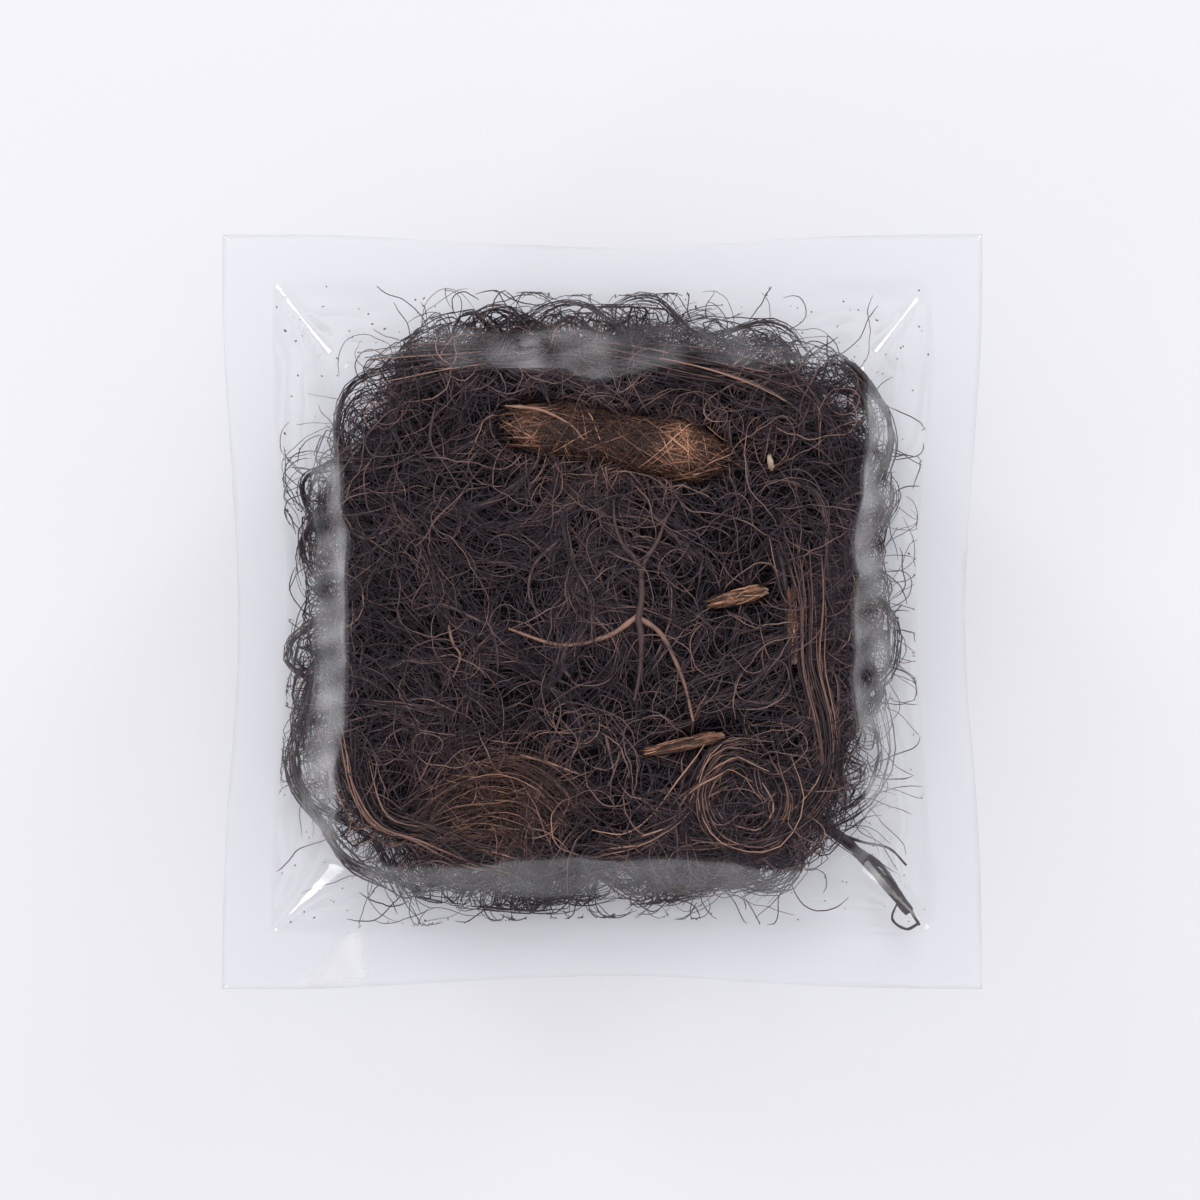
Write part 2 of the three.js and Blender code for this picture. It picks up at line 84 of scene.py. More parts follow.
def half_width_at(y):
    return POUCH_WIDTH / 2 - SIDE_BOW * np.cos(np.pi * y / POUCH_HEIGHT) ** 3


def half_height_at(x):
    return POUCH_HEIGHT / 2 - END_BOW * np.cos(np.pi * x / POUCH_WIDTH) ** 3


def film_depth(x, y):
    """How far a point lies inside the welds, so that equal depths are equal film heights."""
    left = half_width_at(y) - SEAL_SIDE + x
    right = half_width_at(y) - SEAL_SIDE - x
    top = half_height_at(x) - SEAL_TOP - y
    bottom = half_height_at(x) - SEAL_BOTTOM + y
    corners = [left + top, right + top, left + bottom, right + bottom]
    walls = np.stack([left, right, top * TOP_SHARE, bottom] + [CORNER_SHARE * c for c in corners])
    least = walls.min(axis=0)
    spread = np.exp((least - walls) / HIP_ROUND).sum(axis=0)
    return np.maximum(0, least - HIP_ROUND * np.log(spread))


def unevenness(x, y):
    broad = np.sin(0.17 * x + 0.09 * y + 0.6) * np.cos(0.12 * y - 0.05 * x + 1.1)
    fine = np.sin(0.31 * x - 0.22 * y + 2.3) * np.cos(0.27 * y + 0.13 * x)
    return 0.6 * broad + 0.4 * fine


def weld_height(x, y, depth):
    wave = np.sin(0.075 * x + 0.4) * np.cos(0.06 * y - 0.3) + 0.5 * np.sin(0.13 * (x - y))
    return SEAL_LEVEL + WELD_WAVE * wave * (1 - smoothstep(0, WAVE_FADE, depth))


def skirt(depth):
    return np.sin(np.pi / 2 * np.clip(depth / SKIRT_WIDTH, 0, 1))


def front_inside(x, y):
    depth = film_depth(x, y)
    shifted = depth + SHOULDER_WANDER * unevenness(x, y) * smoothstep(0, WALL_START, depth)
    face = smoothstep(WALL_START, WALL_END, shifted)
    crown = CROWN_RISE * np.clip(1 - (x * x + y * y) / MASS_HALF**2, 0, 1)
    lump = FACE_LUMP * unevenness(x + 40, y - 25)
    rise = SKIRT_RISE * skirt(depth) + FRONT_WALL_RISE * face + (crown + lump) * face
    return weld_height(x, y, depth) + WELD_GAP / 2 + rise


def back_inside(x, y):
    depth = film_depth(x, y)
    full_drop = SEAL_LEVEL - WELD_GAP / 2 - SOLID_FILM
    skirt_drop = SKIRT_RISE * BACK_SKIRT_SHARE
    wall_drop = (full_drop - skirt_drop) * smoothstep(WALL_START, WALL_END, depth)
    drop = skirt_drop * skirt(depth) + wall_drop
    return weld_height(x, y, depth) - WELD_GAP / 2 - drop


# Creases that the film takes as it is pulled round the roots: where each starts and ends in
# plan, its half width and its height
FOLDS = [
    (-62.0, 55.0, -52.0, 40.0, 1.8, -0.5),
    (61.0, 56.0, 53.0, 42.0, 1.8, -0.5),
]
WELD_FOLDS = [
    (-53.5, -61.5, -60.0, -75.0, 3.2, 0.9),
    (-53.5, -61.5, -47.0, -75.0, 3.0, -0.8),
    (31.0, -62.0, 25.0, -75.0, 3.4, 0.9),
    (31.0, -62.0, 39.0, -75.0, 3.2, -0.8),
    (-62.5, 18.0, -75.0, 27.0, 3.2, 0.9),
    (-62.5, 18.0, -75.0, 8.0, 3.2, -0.7),
    (62.5, 6.0, 75.0, 15.0, 3.2, 0.8),
    (62.5, 6.0, 75.0, -4.0, 3.2, -0.6),
    (-8.0, 64.5, -14.0, 75.0, 3.0, 0.6),
    (-8.0, 64.5, 0.0, 75.0, 3.0, -0.5),
]


def crease(folds, x, y):
    total = np.zeros_like(x)
    for from_x, from_y, to_x, to_y, width, height in folds:
        run_x, run_y = to_x - from_x, to_y - from_y
        along = ((x - from_x) * run_x + (y - from_y) * run_y) / (run_x**2 + run_y**2)
        along = np.clip(along, 0, 1)
        away = np.hypot(x - from_x - along * run_x, y - from_y - along * run_y)
        swell = np.sin(np.pi * (0.12 + 0.76 * along))
        total = total + height * swell * np.clip(1 - away / width, 0, 1) ** 1.2
    return total


def weld_ripple(x, y, depth):
    """Ripples and folds that both films share along the weld, dying out inside it."""
    ripple = 0.16 * np.sin(0.41 * x + 0.12 * y) * np.cos(0.37 * y - 0.2 * x)
    return (ripple + crease(WELD_FOLDS, x, y)) * (1 - smoothstep(0, WAVE_FADE, depth))


def back_film_inside(x, y):
    depth = film_depth(x, y)
    spare = (SOLID_FILM - THIN_FILM) * smoothstep(0, WALL_START, depth)
    return back_inside(x, y) - spare + weld_ripple(x, y, depth)


def slopes(height, x, y):
    step = 0.05
    slope_x = (height(x + step, y) - height(x - step, y)) / (2 * step)
    slope_y = (height(x, y + step) - height(x, y - step)) / (2 * step)
    return slope_x, slope_y


def add_object(name, mesh):
    made = bpy.data.objects.new(name, mesh)
    bpy.context.scene.collection.objects.link(made)
    return made


def set_values(mesh, name, values):
    """A number for each point of a mesh, by name."""
    layer = mesh.attributes.new(name, "FLOAT", "POINT")
    layer.data.foreach_set("value", values.astype(np.float32))


def feed(node, inputs):
    """Sets a node's inputs: an output is linked, anything else becomes the input's own value."""
    for label, value in inputs.items():
        if isinstance(value, bpy.types.NodeSocket):
            node.id_data.links.new(value, node.inputs[label])
        else:
            node.inputs[label].default_value = value


def add_node(tree, kind, inputs, **settings):
    node = tree.nodes.new(kind)
    for label, value in settings.items():
        setattr(node, label, value)
    feed(node, inputs)
    return node


def noise(tree, **inputs):
    """Noise that stays with the piece."""
    place = add_node(tree, "ShaderNodeTexCoord", {})
    inputs = {"Vector": place.outputs["Object"], **inputs}
    return add_node(tree, "ShaderNodeTexNoise", inputs).outputs["Fac"]


def attribute(tree, name, output="Fac"):
    return add_node(tree, "ShaderNodeAttribute", {}, attribute_name=name).outputs[output]


def arithmetic(tree, operation, *terms):
    inputs = dict(enumerate(terms))
    return add_node(tree, "ShaderNodeMath", inputs, operation=operation).outputs["Value"]


def shade_ramp(tree, share, stops):
    """A colour for each share, between stops that give a position and a colour."""
    ramp = add_node(tree, "ShaderNodeValToRGB", {"Fac": share})
    if len(stops) == 3:
        ramp.color_ramp.elements.new(0.5)
    for element, (position, colour) in zip(ramp.color_ramp.elements, stops):
        element.position = position
        element.color = (*colour, 1)
    return ramp.outputs["Color"]


def new_finish(name):
    finish = bpy.data.materials.new(name)
    finish.use_nodes = True
    return finish, finish.node_tree


def painted_highlight_share(x, y):
    """Painted highlight on the bottom weld: the share of a point inside the folded facet, whose
    face is painted white with haze in place of the light it would catch.
    """
    share = np.ones_like(x)
    for (ax, ay), (bx, by) in zip(PAINTED_HIGHLIGHT_FACET, PAINTED_HIGHLIGHT_FACET[1:] + PAINTED_HIGHLIGHT_FACET[:1]):
        inward = ((bx - ax) * (y - ay) - (by - ay) * (x - ax)) / math.hypot(bx - ax, by - ay)
        share = share * smoothstep(-0.4, 0.6, inward)
    return share


def film_sheen(x, y):
    """How much the film shines: blotchy on its walls, dull on the top wall and low on the front."""
    gap = 1 - np.exp(-(((x + 9) / 9) ** 2))
    top_wall = smoothstep(36, 44, y) * (1 - smoothstep(38, 50, np.abs(x))) * gap
    depth = film_depth(x, y)
    on_wall = smoothstep(4, 8, depth) * (1 - smoothstep(13, 17, depth))
    low = smoothstep(36, 46, -y) * (1 - smoothstep(48, 54, np.abs(x)))
    patches = (1 - 0.75 * low) * unevenness(2.1 * x, 2.1 * y + 9) * on_wall
    return (0.9 + patches) * (1 - 0.42 * low) * (1 - 0.68 * top_wall)


def film_shell(name, inside, cells, outward, haze):
    """A thin closed sheet: an inner and an outer grid joined along the cut edge."""
    lines = np.linspace(-1, 1, cells + 1)
    u, v = np.meshgrid(lines, lines, indexing="ij")
    x = u * half_width_at(v * POUCH_HEIGHT / 2)
    y = v * half_height_at(u * POUCH_WIDTH / 2)
    z = inside(x, y)
    slope_x, slope_y = slopes(inside, x, y)
    stretch = np.sqrt(1 + slope_x**2 + slope_y**2)
    inner = np.stack([x, y, z], -1).reshape(-1, 3)
    away = np.stack([-slope_x, -slope_y, np.ones_like(z)], -1) / stretch[..., None]
    outer = inner + outward * THIN_FILM * away.reshape(-1, 3)
    index = np.arange((cells + 1) ** 2).reshape(cells + 1, cells + 1)
    corners = [index[:-1, :-1], index[1:, :-1], index[1:, 1:], index[:-1, 1:]]
    quads = np.stack(corners, -1).reshape(-1, 4)
    border = np.concatenate([index[:-1, 0], index[-1, :-1], index[:0:-1, -1], index[0, :0:-1]])
    following = np.roll(border, -1)
    count = len(inner)
    if outward > 0:
        upper, lower = quads + count, quads[:, ::-1]
        rim = np.stack([border, following, following + count, border + count], -1)
    else:
        upper, lower = quads, quads[:, ::-1] + count
        rim = np.stack([border + count, following + count, following, border], -1)
    mesh = bpy.data.meshes.new(name)
    faces = np.concatenate([upper, lower, rim]).tolist()
    mesh.from_pydata(np.concatenate([inner, outer]) * MM, [], faces)
    weld = haze * (1 - smoothstep(0, 0.6, film_depth(x, y)).reshape(-1))
    # Painted highlight: the facet triangle on the bottom weld gets many times the weld haze, so its
    # face shows white as if it caught the light
    weld = weld + FACET_PAINTED_HIGHLIGHT * haze * painted_highlight_share(x, y).reshape(-1)
    weld[border] *= CUT_EDGE_HAZE
    set_values(mesh, "weld", np.concatenate([np.zeros(count), weld]))
    set_values(mesh, "sheen", np.tile(film_sheen(x, y).reshape(-1), 2))
    mesh.shade_smooth()
    return add_object(name, mesh)


def clear_film():
    """Clear film: it mirrors more the more it slants, its welds are faintly hazy, and a facet of
    the bottom weld carries a painted highlight as white haze.
    """
    finish, tree = new_finish("clear_film")
    tree.nodes.clear()
    dents = noise(tree, Scale=110.0, Detail=3.0)
    dented = {"Strength": 0.22, "Distance": 0.0008, "Height": dents}
    bump = add_node(tree, "ShaderNodeBump", dented).outputs["Normal"]
    slant = add_node(tree, "ShaderNodeLayerWeight", {"Blend": 0.5, "Normal": bump})
    slanting = {"Value": slant.outputs["Facing"], "From Min": 0.09, "From Max": 0.75, "To Max": 0.4}
    gain = add_node(tree, "ShaderNodeMapRange", slanting).outputs["Result"]
    sheened = arithmetic(tree, "MULTIPLY", gain, attribute(tree, "sheen"))
    side = add_node(tree, "ShaderNodeNewGeometry", {})
    facing = arithmetic(tree, "SUBTRACT", 1.0, side.outputs["Backfacing"])
    mirrored = arithmetic(tree, "MULTIPLY", sheened, facing)
    # The weld attribute carries the welds' own haze and the painted highlight of the facet on the
    # bottom weld
    haze_share = arithmetic(tree, "MULTIPLY", attribute(tree, "weld"), WELD_HAZE)
    ray = add_node(tree, "ShaderNodeLightPath", {})
    clear = add_node(tree, "ShaderNodeBsdfTransparent", {"Color": (0.995, 0.995, 0.998, 1)})
    gloss = add_node(tree, "ShaderNodeBsdfGlossy", {"Roughness": 0.08, "Normal": bump})
    haze = add_node(tree, "ShaderNodeBsdfDiffuse", {"Color": (0.85, 0.85, 0.88, 1)})
    clear, gloss, haze = (shader.outputs["BSDF"] for shader in (clear, gloss, haze))
    look = clear
    shadow = ray.outputs["Is Shadow Ray"]
    for share, over in ((mirrored, gloss), (haze_share, haze), (shadow, clear)):
        mix = add_node(tree, "ShaderNodeMixShader", {"Fac": share, 1: look, 2: over})
        look = mix.outputs["Shader"]
    add_node(tree, "ShaderNodeOutputMaterial", {"Surface": look})
    return finish


film_finish = clear_film()
back_film = film_shell("back_film", back_film_inside, BACK_CELLS, -1, 0.0)
back_film.data.materials.append(film_finish)
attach(back_film, "root")
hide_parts("pouch_back_film")

# Heart of the tangle: a core of roots packed close, well under the face of the mass, that is only
# glimpsed through the gaps of the mat above it. Its near-black colour is painted shade, far darker
# than the roots themselves, for the dark where no light comes between them.
MASS_CENTRE = (-1.0, 1.0)
MASS_RIM = [
    (-61.5, -31.0), (-59.5, 2.0), (-57.5, 32.0), (-50.5, 44.0), (-46.0, 49.5), (-34.0, 59.0),
    (-8.0, 61.5), (4.0, 62.0), (23.0, 59.5), (39.0, 54.5), (49.0, 50.5), (57.5, 41.5),
    (56.5, 10.0), (57.5, -15.5), (55.0, -29.5), (49.0, -43.0), (39.0, -53.0), (19.0, -58.0),
    (-0.5, -59.5), (-24.0, -60.0), (-40.0, -57.5), (-52.5, -47.0),
]
HOLLOWS = [
    (17, 43, 7, 4), (-13, -20, 8, 4), (19, -26, 8, 4),
    (26, 6, 7, 3.5), (-35, -37, 7, 3.5), (-30, 37, 7, 3),
]
ROOT_CLEAR = 0.3
HEART_COVER = 5.5
HEART_SHARE = 0.86
rim_offsets = np.array(MASS_RIM) - MASS_CENTRE
rim_angles = np.arctan2(rim_offsets[:, 1], rim_offsets[:, 0])
rim_order = np.argsort(rim_angles)
rim_angles = rim_angles[rim_order]
rim_reaches = np.hypot(rim_offsets[:, 0], rim_offsets[:, 1])[rim_order]


def rim_reach(angle):
    return np.interp(angle, rim_angles, rim_reaches, period=2 * np.pi)


def rim_share(x, y):
    """How far out a point lies, as a share of the way to the rim of the mass, and its bearing."""
    angle = np.arctan2(y - MASS_CENTRE[1], x - MASS_CENTRE[0])
    return np.hypot(x - MASS_CENTRE[0], y - MASS_CENTRE[1]) / rim_reach(angle), angle


def hollow_at(x, y):
    return sum(d * np.exp(-((x - cx) ** 2 + (y - cy) ** 2) / r**2) for cx, cy, r, d in HOLLOWS)


def stretch_of(height, x, y):
    slope_x, slope_y = slopes(height, x, y)
    return np.sqrt(1 + slope_x**2 + slope_y**2)


def under_front(x, y, distance):
    return front_inside(x, y) - distance * stretch_of(front_inside, x, y)


def over_back(x, y, distance):
    return back_inside(x, y) + distance * stretch_of(back_inside, x, y)


def dark_heart():
    rings, sectors = 22, 96
    shares = np.linspace(0.04, 1, rings) * HEART_SHARE
    bearings = np.linspace(0, 2 * np.pi, sectors, endpoint=False)
    share, bearing = np.meshgrid(shares, bearings, indexing="ij")
    x = MASS_CENTRE[0] + share * rim_reach(bearing) * np.cos(bearing)
    y = MASS_CENTRE[1] + share * rim_reach(bearing) * np.sin(bearing)
    top = under_front(x, y, HEART_COVER) - hollow_at(x, y)
    base = over_back(x, y, 3.0)
    middle = (top + base) / 2
    fullness = np.sqrt(np.clip(1 - (share / HEART_SHARE) ** 10, 0, 1))
    top = middle + np.maximum(top - middle, 0.2) * np.maximum(fullness, 0.15)
    base = middle - np.maximum(middle - base, 0.2) * np.maximum(fullness, 0.15)
    points = np.concatenate([np.stack([x, y, h], -1).reshape(-1, 3) for h in (top, base)])
    index = np.arange(rings * sectors).reshape(rings, sectors)
    beside = np.roll(index, -1, axis=1)
    quads = np.stack([index[:-1], index[1:], beside[1:], beside[:-1]], -1).reshape(-1, 4)
    below = rings * sectors
    faces = quads.tolist() + (quads[:, ::-1] + below).tolist()
    faces.append(index[0].tolist())
    faces.append((index[0][::-1] + below).tolist())
    faces += np.stack([index[-1], index[-1] + below, beside[-1] + below, beside[-1]], -1).tolist()
    mesh = bpy.data.meshes.new("painted_shade_heart")
    mesh.from_pydata(points * MM, [], faces)
    mesh.shade_smooth()
    return add_object("painted_shade_heart", mesh)


def painted_shade_root():
    finish, tree = new_finish("painted_shade_root")
    grain = noise(tree, Scale=900.0, Detail=6.0, Distortion=2.0)
    # Painted shade: near-black colours, far darker than the roots' own
    shade = shade_ramp(tree, grain, [(0.35, (0.004, 0.0035, 0.005)), (0.75, (0.018, 0.013, 0.015))])
    rough = {"Strength": 0.9, "Distance": 0.001, "Height": grain}
    bump = add_node(tree, "ShaderNodeBump", rough).outputs["Normal"]
    skin = {"Base Color": shade, "Normal": bump, "Roughness": 0.85, "Specular IOR Level": 0.2}
    feed(tree.nodes["Principled BSDF"], skin)
    return finish


heart = dark_heart()
heart.data.materials.append(painted_shade_root())
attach(heart, "root")
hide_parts("root_tangle")

# Felted mat of the tangle: thousands of thin dried roots, each bent its own way, that lie in
# swirling layers under the film on the front, round the rim and on the back of the mass.
SWIRL = 1.1
ROOT_SEED = 2711
ROOT_SIDES = 3
draw = np.random.default_rng(ROOT_SEED)


def nap(x, y):
    """The way the roots are combed at a point."""
    reach = np.hypot(x - MASS_CENTRE[0], y - MASS_CENTRE[1])
    swirl = SWIRL * (1.25 - reach / MASS_HALF)
    broad = 0.9 * np.sin(0.083 * x - 0.05 * y + 1.3)
    return swirl + broad + 0.8 * np.sin(0.071 * y + 0.064 * x + 0.2)


# Where the rhizome and the bits of stem lie, the mat parts: path in plan, half width, depth
NESTS = [
    ([(-15, 35.8), (-6, 35), (4, 33), (14, 31), (19, 30.2)], 5.6, 8.0),
    ([(22, 1.8), (31, 4.3)], 1.7, 3.4),
    ([(10, -26.7), (22.5, -23.8)], 1.4, 3.0),
    ([(32.1, 30.0), (32.5, 27.5)], 1.2, 2.0),
]


def parting(x, y):
    """Extra depth of the mat, so that it passes under what lies on it."""
    total = np.zeros_like(x)
    for path, width, depth in NESTS:
        nearest = np.full_like(x, 1e9)
        for (ax, ay), (bx, by) in zip(path[:-1], path[1:]):
            run_x, run_y = bx - ax, by - ay
            along = ((x - ax) * run_x + (y - ay) * run_y) / (run_x**2 + run_y**2)
            along = np.clip(along, 0, 1)
            nearest = np.minimum(nearest, np.hypot(x - ax - along * run_x, y - ay - along * run_y))
        total = np.maximum(total, depth * (1 - smoothstep(0.75 * width, 1.15 * width, nearest)))
    return total


def face_sink(x, y):
    """How far the face of the mat lies under the film: lumps, and dark hollows between them."""
    lumps = 0.9 + 0.9 * np.sin(0.23 * x + 0.13 * y + 0.4) * np.cos(0.19 * y - 0.11 * x + 0.9)
    small = 0.5 * np.sin(0.47 * x - 0.3 * y + 1.0) * np.sin(0.42 * y + 0.2 * x)
    return np.maximum(lumps + small + hollow_at(x, y), 0) + parting(x, y)


def grow(start, heading, steps, stride, curl, wander, follow, reach):
    """Plans of roots that wander, curl and follow the nap, and turn back at the rim."""
    count = len(start)
    place = start.copy()
    turn = heading.copy()
    bend = curl.copy()
    plan = np.empty((count, steps + 1, 2))
    for k in range(steps + 1):
        plan[:, k] = place
        lean = np.sin(2 * (nap(place[:, 0], place[:, 1]) - turn))
        share, angle = rim_share(place[:, 0], place[:, 1])
        home = np.sin(angle + np.pi - turn)
        over = smoothstep(reach - 0.14, reach, share)
        turn = turn + stride * (bend + follow * lean + 0.5 * over * home)
        turn = turn + wander * draw.normal(size=count)
        bend = 0.96 * bend + 0.02 * draw.normal(size=count)
        place = place + stride * np.stack([np.cos(turn), np.sin(turn)], -1)
    share, angle = rim_share(plan[..., 0], plan[..., 1])
    inward = np.minimum(1, reach / np.maximum(share, 1e-6))
    centre = np.array(MASS_CENTRE)
    return centre + (plan - centre) * inward[..., None]


def from_centre(angle, reach):
    """Points at a bearing and a distance from the middle of the mass."""
    x = MASS_CENTRE[0] + reach * np.cos(angle)
    return np.stack([x, MASS_CENTRE[1] + reach * np.sin(angle)], -1)


def scattered(count, least, most):
    """Points spread evenly over the mass between two shares of the way to its rim."""
    angle = draw.uniform(-np.pi, np.pi, count)
    share = np.sqrt(draw.uniform(least**2, most**2, count))
    return from_centre(angle, share * rim_reach(angle))


def waved(count, steps, mean, swing):
    """A depth that rises and falls along each root."""
    along = np.arange(steps + 1)[None, :]
    phase = draw.uniform(0, 2 * np.pi, (count, 1))
    pace = draw.uniform(0.25, 0.7, (count, 1))
    return mean[:, None] + swing * np.sin(phase + pace * along)


def tapered(count, steps, thin, thick):
    """Radii along each root, thinner towards its ends."""
    along = np.linspace(0, 1, steps + 1)[None, :]
    body = draw.uniform(thin, thick, (count, 1))
    return body * (0.45 + 0.55 * np.minimum(1, 6 * np.minimum(along, 1 - along)))


def film_limits(plan, radius):
    """The lowest and the highest that roots can lie between the two films."""
    x, y = plan[..., 0], plan[..., 1]
    return over_back(x, y, ROOT_CLEAR + radius), under_front(x, y, ROOT_CLEAR + radius)


def with_height(plan, height):
    return np.concatenate([plan, height[..., None]], -1)


def laid(plan, sink, radius):
    """Heights for roots at a depth under the front film, always between the two films."""
    base, top = film_limits(plan, radius)
    height = np.maximum(top - np.maximum(sink, 0), base)
    return with_height(plan, np.where(top > base, height, (top + base) / 2))


def raised(plan, lift, radius):
    """Heights for roots at a height over the back film, always between the two films."""
    base, top = film_limits(plan, radius)
    height = np.minimum(base + np.maximum(lift, 0), top)
    return with_height(plan, np.where(top > base, height, (top + base) / 2))


def new_node_tree(name, inputs, output):
    """A node tree with its named inputs and its one output, and its two end nodes."""
    tree = bpy.data.node_groups.new(name, "GeometryNodeTree")
    for label, kind in inputs.items():
        tree.interface.new_socket(label, in_out="INPUT", socket_type="NodeSocket" + kind)
    tree.interface.new_socket(output, in_out="OUTPUT", socket_type="NodeSocketGeometry")
    given = tree.nodes.new("NodeGroupInput").outputs
    return tree, given, tree.nodes.new("NodeGroupOutput")


def painted(tree, shape, finish):
    """Real geometry with its finish."""
    real = add_node(tree, "GeometryNodeRealizeInstances", {"Geometry": shape})
    paint = {"Geometry": real.outputs["Geometry"], "Material": finish}
    return add_node(tree, "GeometryNodeSetMaterial", paint).outputs["Geometry"]


def strand_tree():
    """Tubes along routes, as thick at each point as the route says."""
    inputs = {"Routes": "Geometry", "Sides": "Int", "Finish": "Material"}
    tree, given, made = new_node_tree("root_strands", inputs, "Strands")
    curves = add_node(tree, "GeometryNodeMeshToCurve", {"Mesh": given["Routes"]})
    circle = {"Radius": 1.0, "Resolution": given["Sides"]}
    ring = add_node(tree, "GeometryNodeCurvePrimitiveCircle", circle)
    thick = add_node(tree, "GeometryNodeInputNamedAttribute", {"Name": "thick"}, data_type="FLOAT")
    tube = {
        "Curve": curves.outputs["Curve"], "Profile Curve": ring.outputs["Curve"],
        "Scale": thick.outputs["Attribute"], "Fill Caps": True,
    }
    tubes = add_node(tree, "GeometryNodeCurveToMesh", tube)
    smooth = add_node(tree, "GeometryNodeSetShadeSmooth", {"Geometry": tubes.outputs["Mesh"]})
    feed(made, {"Strands": painted(tree, smooth.outputs["Geometry"], given["Finish"])})
    return tree


def set_input(modifier, name, value):
    for item in modifier.node_group.interface.items_tree:
        if item.item_type == "SOCKET" and item.in_out == "INPUT" and item.name == name:
            modifier[item.identifier] = value


def made_plain(piece):
    """The piece with what its node tree makes as its own plain mesh."""
    graph = bpy.context.evaluated_depsgraph_get()
    mesh = bpy.data.meshes.new_from_object(
        piece.evaluated_get(graph), preserve_all_data_layers=True, depsgraph=graph
    )
    old = piece.data
    piece.modifiers.clear()
    piece.data = mesh
    bpy.data.meshes.remove(old)
    mesh.name = piece.name
    return piece


def strand_piece(name, batches, sides, finish):
    """One piece of tubes. A batch holds routes, radii, and tone and warmth for each point."""
    points, thick, tone, warm, edges = [], [], [], [], []
    first = 0
    for route, radius, shade, warmth in batches:
        count, length = route.shape[:2]
        index = first + np.arange(count * length).reshape(count, length)
        edges.append(np.stack([index[:, :-1], index[:, 1:]], -1).reshape(-1, 2))
        points.append(route.reshape(-1, 3))
        for store, value in ((thick, radius), (tone, shade), (warm, warmth)):
            store.append(np.broadcast_to(value, (count, length)).reshape(-1))
        first += count * length
    mesh = bpy.data.meshes.new(name)
    places = np.concatenate(points).astype(np.float32) * MM
    pairs = np.concatenate(edges).astype(np.int32)
    mesh.vertices.add(len(places))
    mesh.vertices.foreach_set("co", places.reshape(-1))
    mesh.edges.add(len(pairs))
    mesh.edges.foreach_set("vertices", pairs.reshape(-1))
    for label, store, scale in (("thick", thick, MM), ("tone", tone, 1), ("warm", warm, 1)):
        set_values(mesh, label, np.concatenate(store).astype(np.float32) * scale)
    piece = add_object(name, mesh)
    modifier = piece.modifiers.new("strands", "NODES")
    modifier.node_group = strands
    set_input(modifier, "Sides", sides)
    set_input(modifier, "Finish", finish)
    return made_plain(piece)


def dried_root():
    """Dried rootlets: near black to mid brown from one to the next, redder where warm; the tone
    also carries painted shade on the deeper mat roots and painted highlights on the rhizome sheath.
    """
    finish, tree = new_finish("dried_root")
    patches = noise(tree, Scale=500.0, Detail=3.0)
    lowered = arithmetic(tree, "SUBTRACT", attribute(tree, "tone"), 0.15)
    mixed = arithmetic(tree, "MULTIPLY_ADD", patches, 0.3, lowered)
    brown, red = (shade_ramp(tree, mixed, stops) for stops in (
        [(0, (0.010, 0.008, 0.013)), (0.4, (0.049, 0.036, 0.053)), (1, (0.34, 0.21, 0.18))],
        [(0, (0.026, 0.014, 0.013)), (0.4, (0.13, 0.064, 0.046)), (1, (0.95, 0.5, 0.31))],
    ))
    blend = {"Factor": attribute(tree, "warm"), "A": brown, "B": red}
    colour = add_node(tree, "ShaderNodeMix", blend, data_type="RGBA").outputs["Result"]
    skin = {"Base Color": colour, "Roughness": 0.5, "Specular IOR Level": 0.4}
    feed(tree.nodes["Principled BSDF"], skin)
    return finish


def warmth_at(plan):
    """Redder, hairier patches of the mass: the mound low on the left and round the rhizome."""
    x, y = plan[..., 0], plan[..., 1]
    mound = 0.6 * np.exp(-(((x + 20) / 13) ** 2) - ((y + 36) / 11) ** 2)
    rhizome = 0.4 * np.exp(-(((x - 3) / 24) ** 2) - ((y - 32) / 7) ** 2)
    return np.clip(mound + rhizome + 0.06, 0, 1)


strands = strand_tree()
root_finish = dried_root()


def mat_batch(count, steps, stride, least, most, thin, thick, deep, front, felted=False):
    start = scattered(count, least, most)
    if felted:
        start = start[unevenness(1.5 * start[:, 0], 1.5 * start[:, 1]) > 0]
        count = len(start)
    heading = nap(start[:, 0], start[:, 1]) + draw.normal(0, 0.7, count)
    heading = heading + np.pi * draw.integers(0, 2, count)
    curl = draw.choice([-1, 1], count) * draw.uniform(0.02, 0.14, count)
    plan = grow(start, heading, steps, stride, curl, 0.16, 0.05, most)
    radius = tapered(count, steps, thin, thick)
    depth = waved(count, steps, draw.uniform(0, deep, count), 0.9)
    if front:
        route = laid(plan, depth + face_sink(plan[..., 0], plan[..., 1]), radius)
    else:
        route = raised(plan, depth + 0.6, radius)
    # Painted shade: tone drops with the layer depth, so roots lying deeper under the front film
    # come out darker; on the back mat the same depth is their lift over the back film
    tone = np.repeat(draw.beta(1.5, 3.6, count)[:, None], steps + 1, 1) - 0.06 * depth
    return route, radius, tone, warmth_at(plan)


# Each mat: roots, steps, stride, from and to as shares of the way to the rim, least and greatest
# radius, depth of the layer, whether it lies on the front, and whether it is felted in patches
MATS = {
    "front_mat": (1900, 12, 1.9, 0.0, 0.97, 0.07, 0.16, 4.0, True),
    "rim_mat": (680, 12, 1.9, 0.78, 0.98, 0.08, 0.18, 6.0, True),
    "back_mat": (1000, 8, 2.9, 0.0, 0.97, 0.16, 0.32, 2.0, False),
    "fine_mat": (3400, 6, 1.5, 0.0, 0.95, 0.04, 0.075, 1.0, True, True),
}
mats = [
    strand_piece(name, [mat_batch(*laying)], ROOT_SIDES, root_finish)
    for name, laying in MATS.items()
]
for mat in mats:
    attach(mat, "root")
    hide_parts("root_tangle")

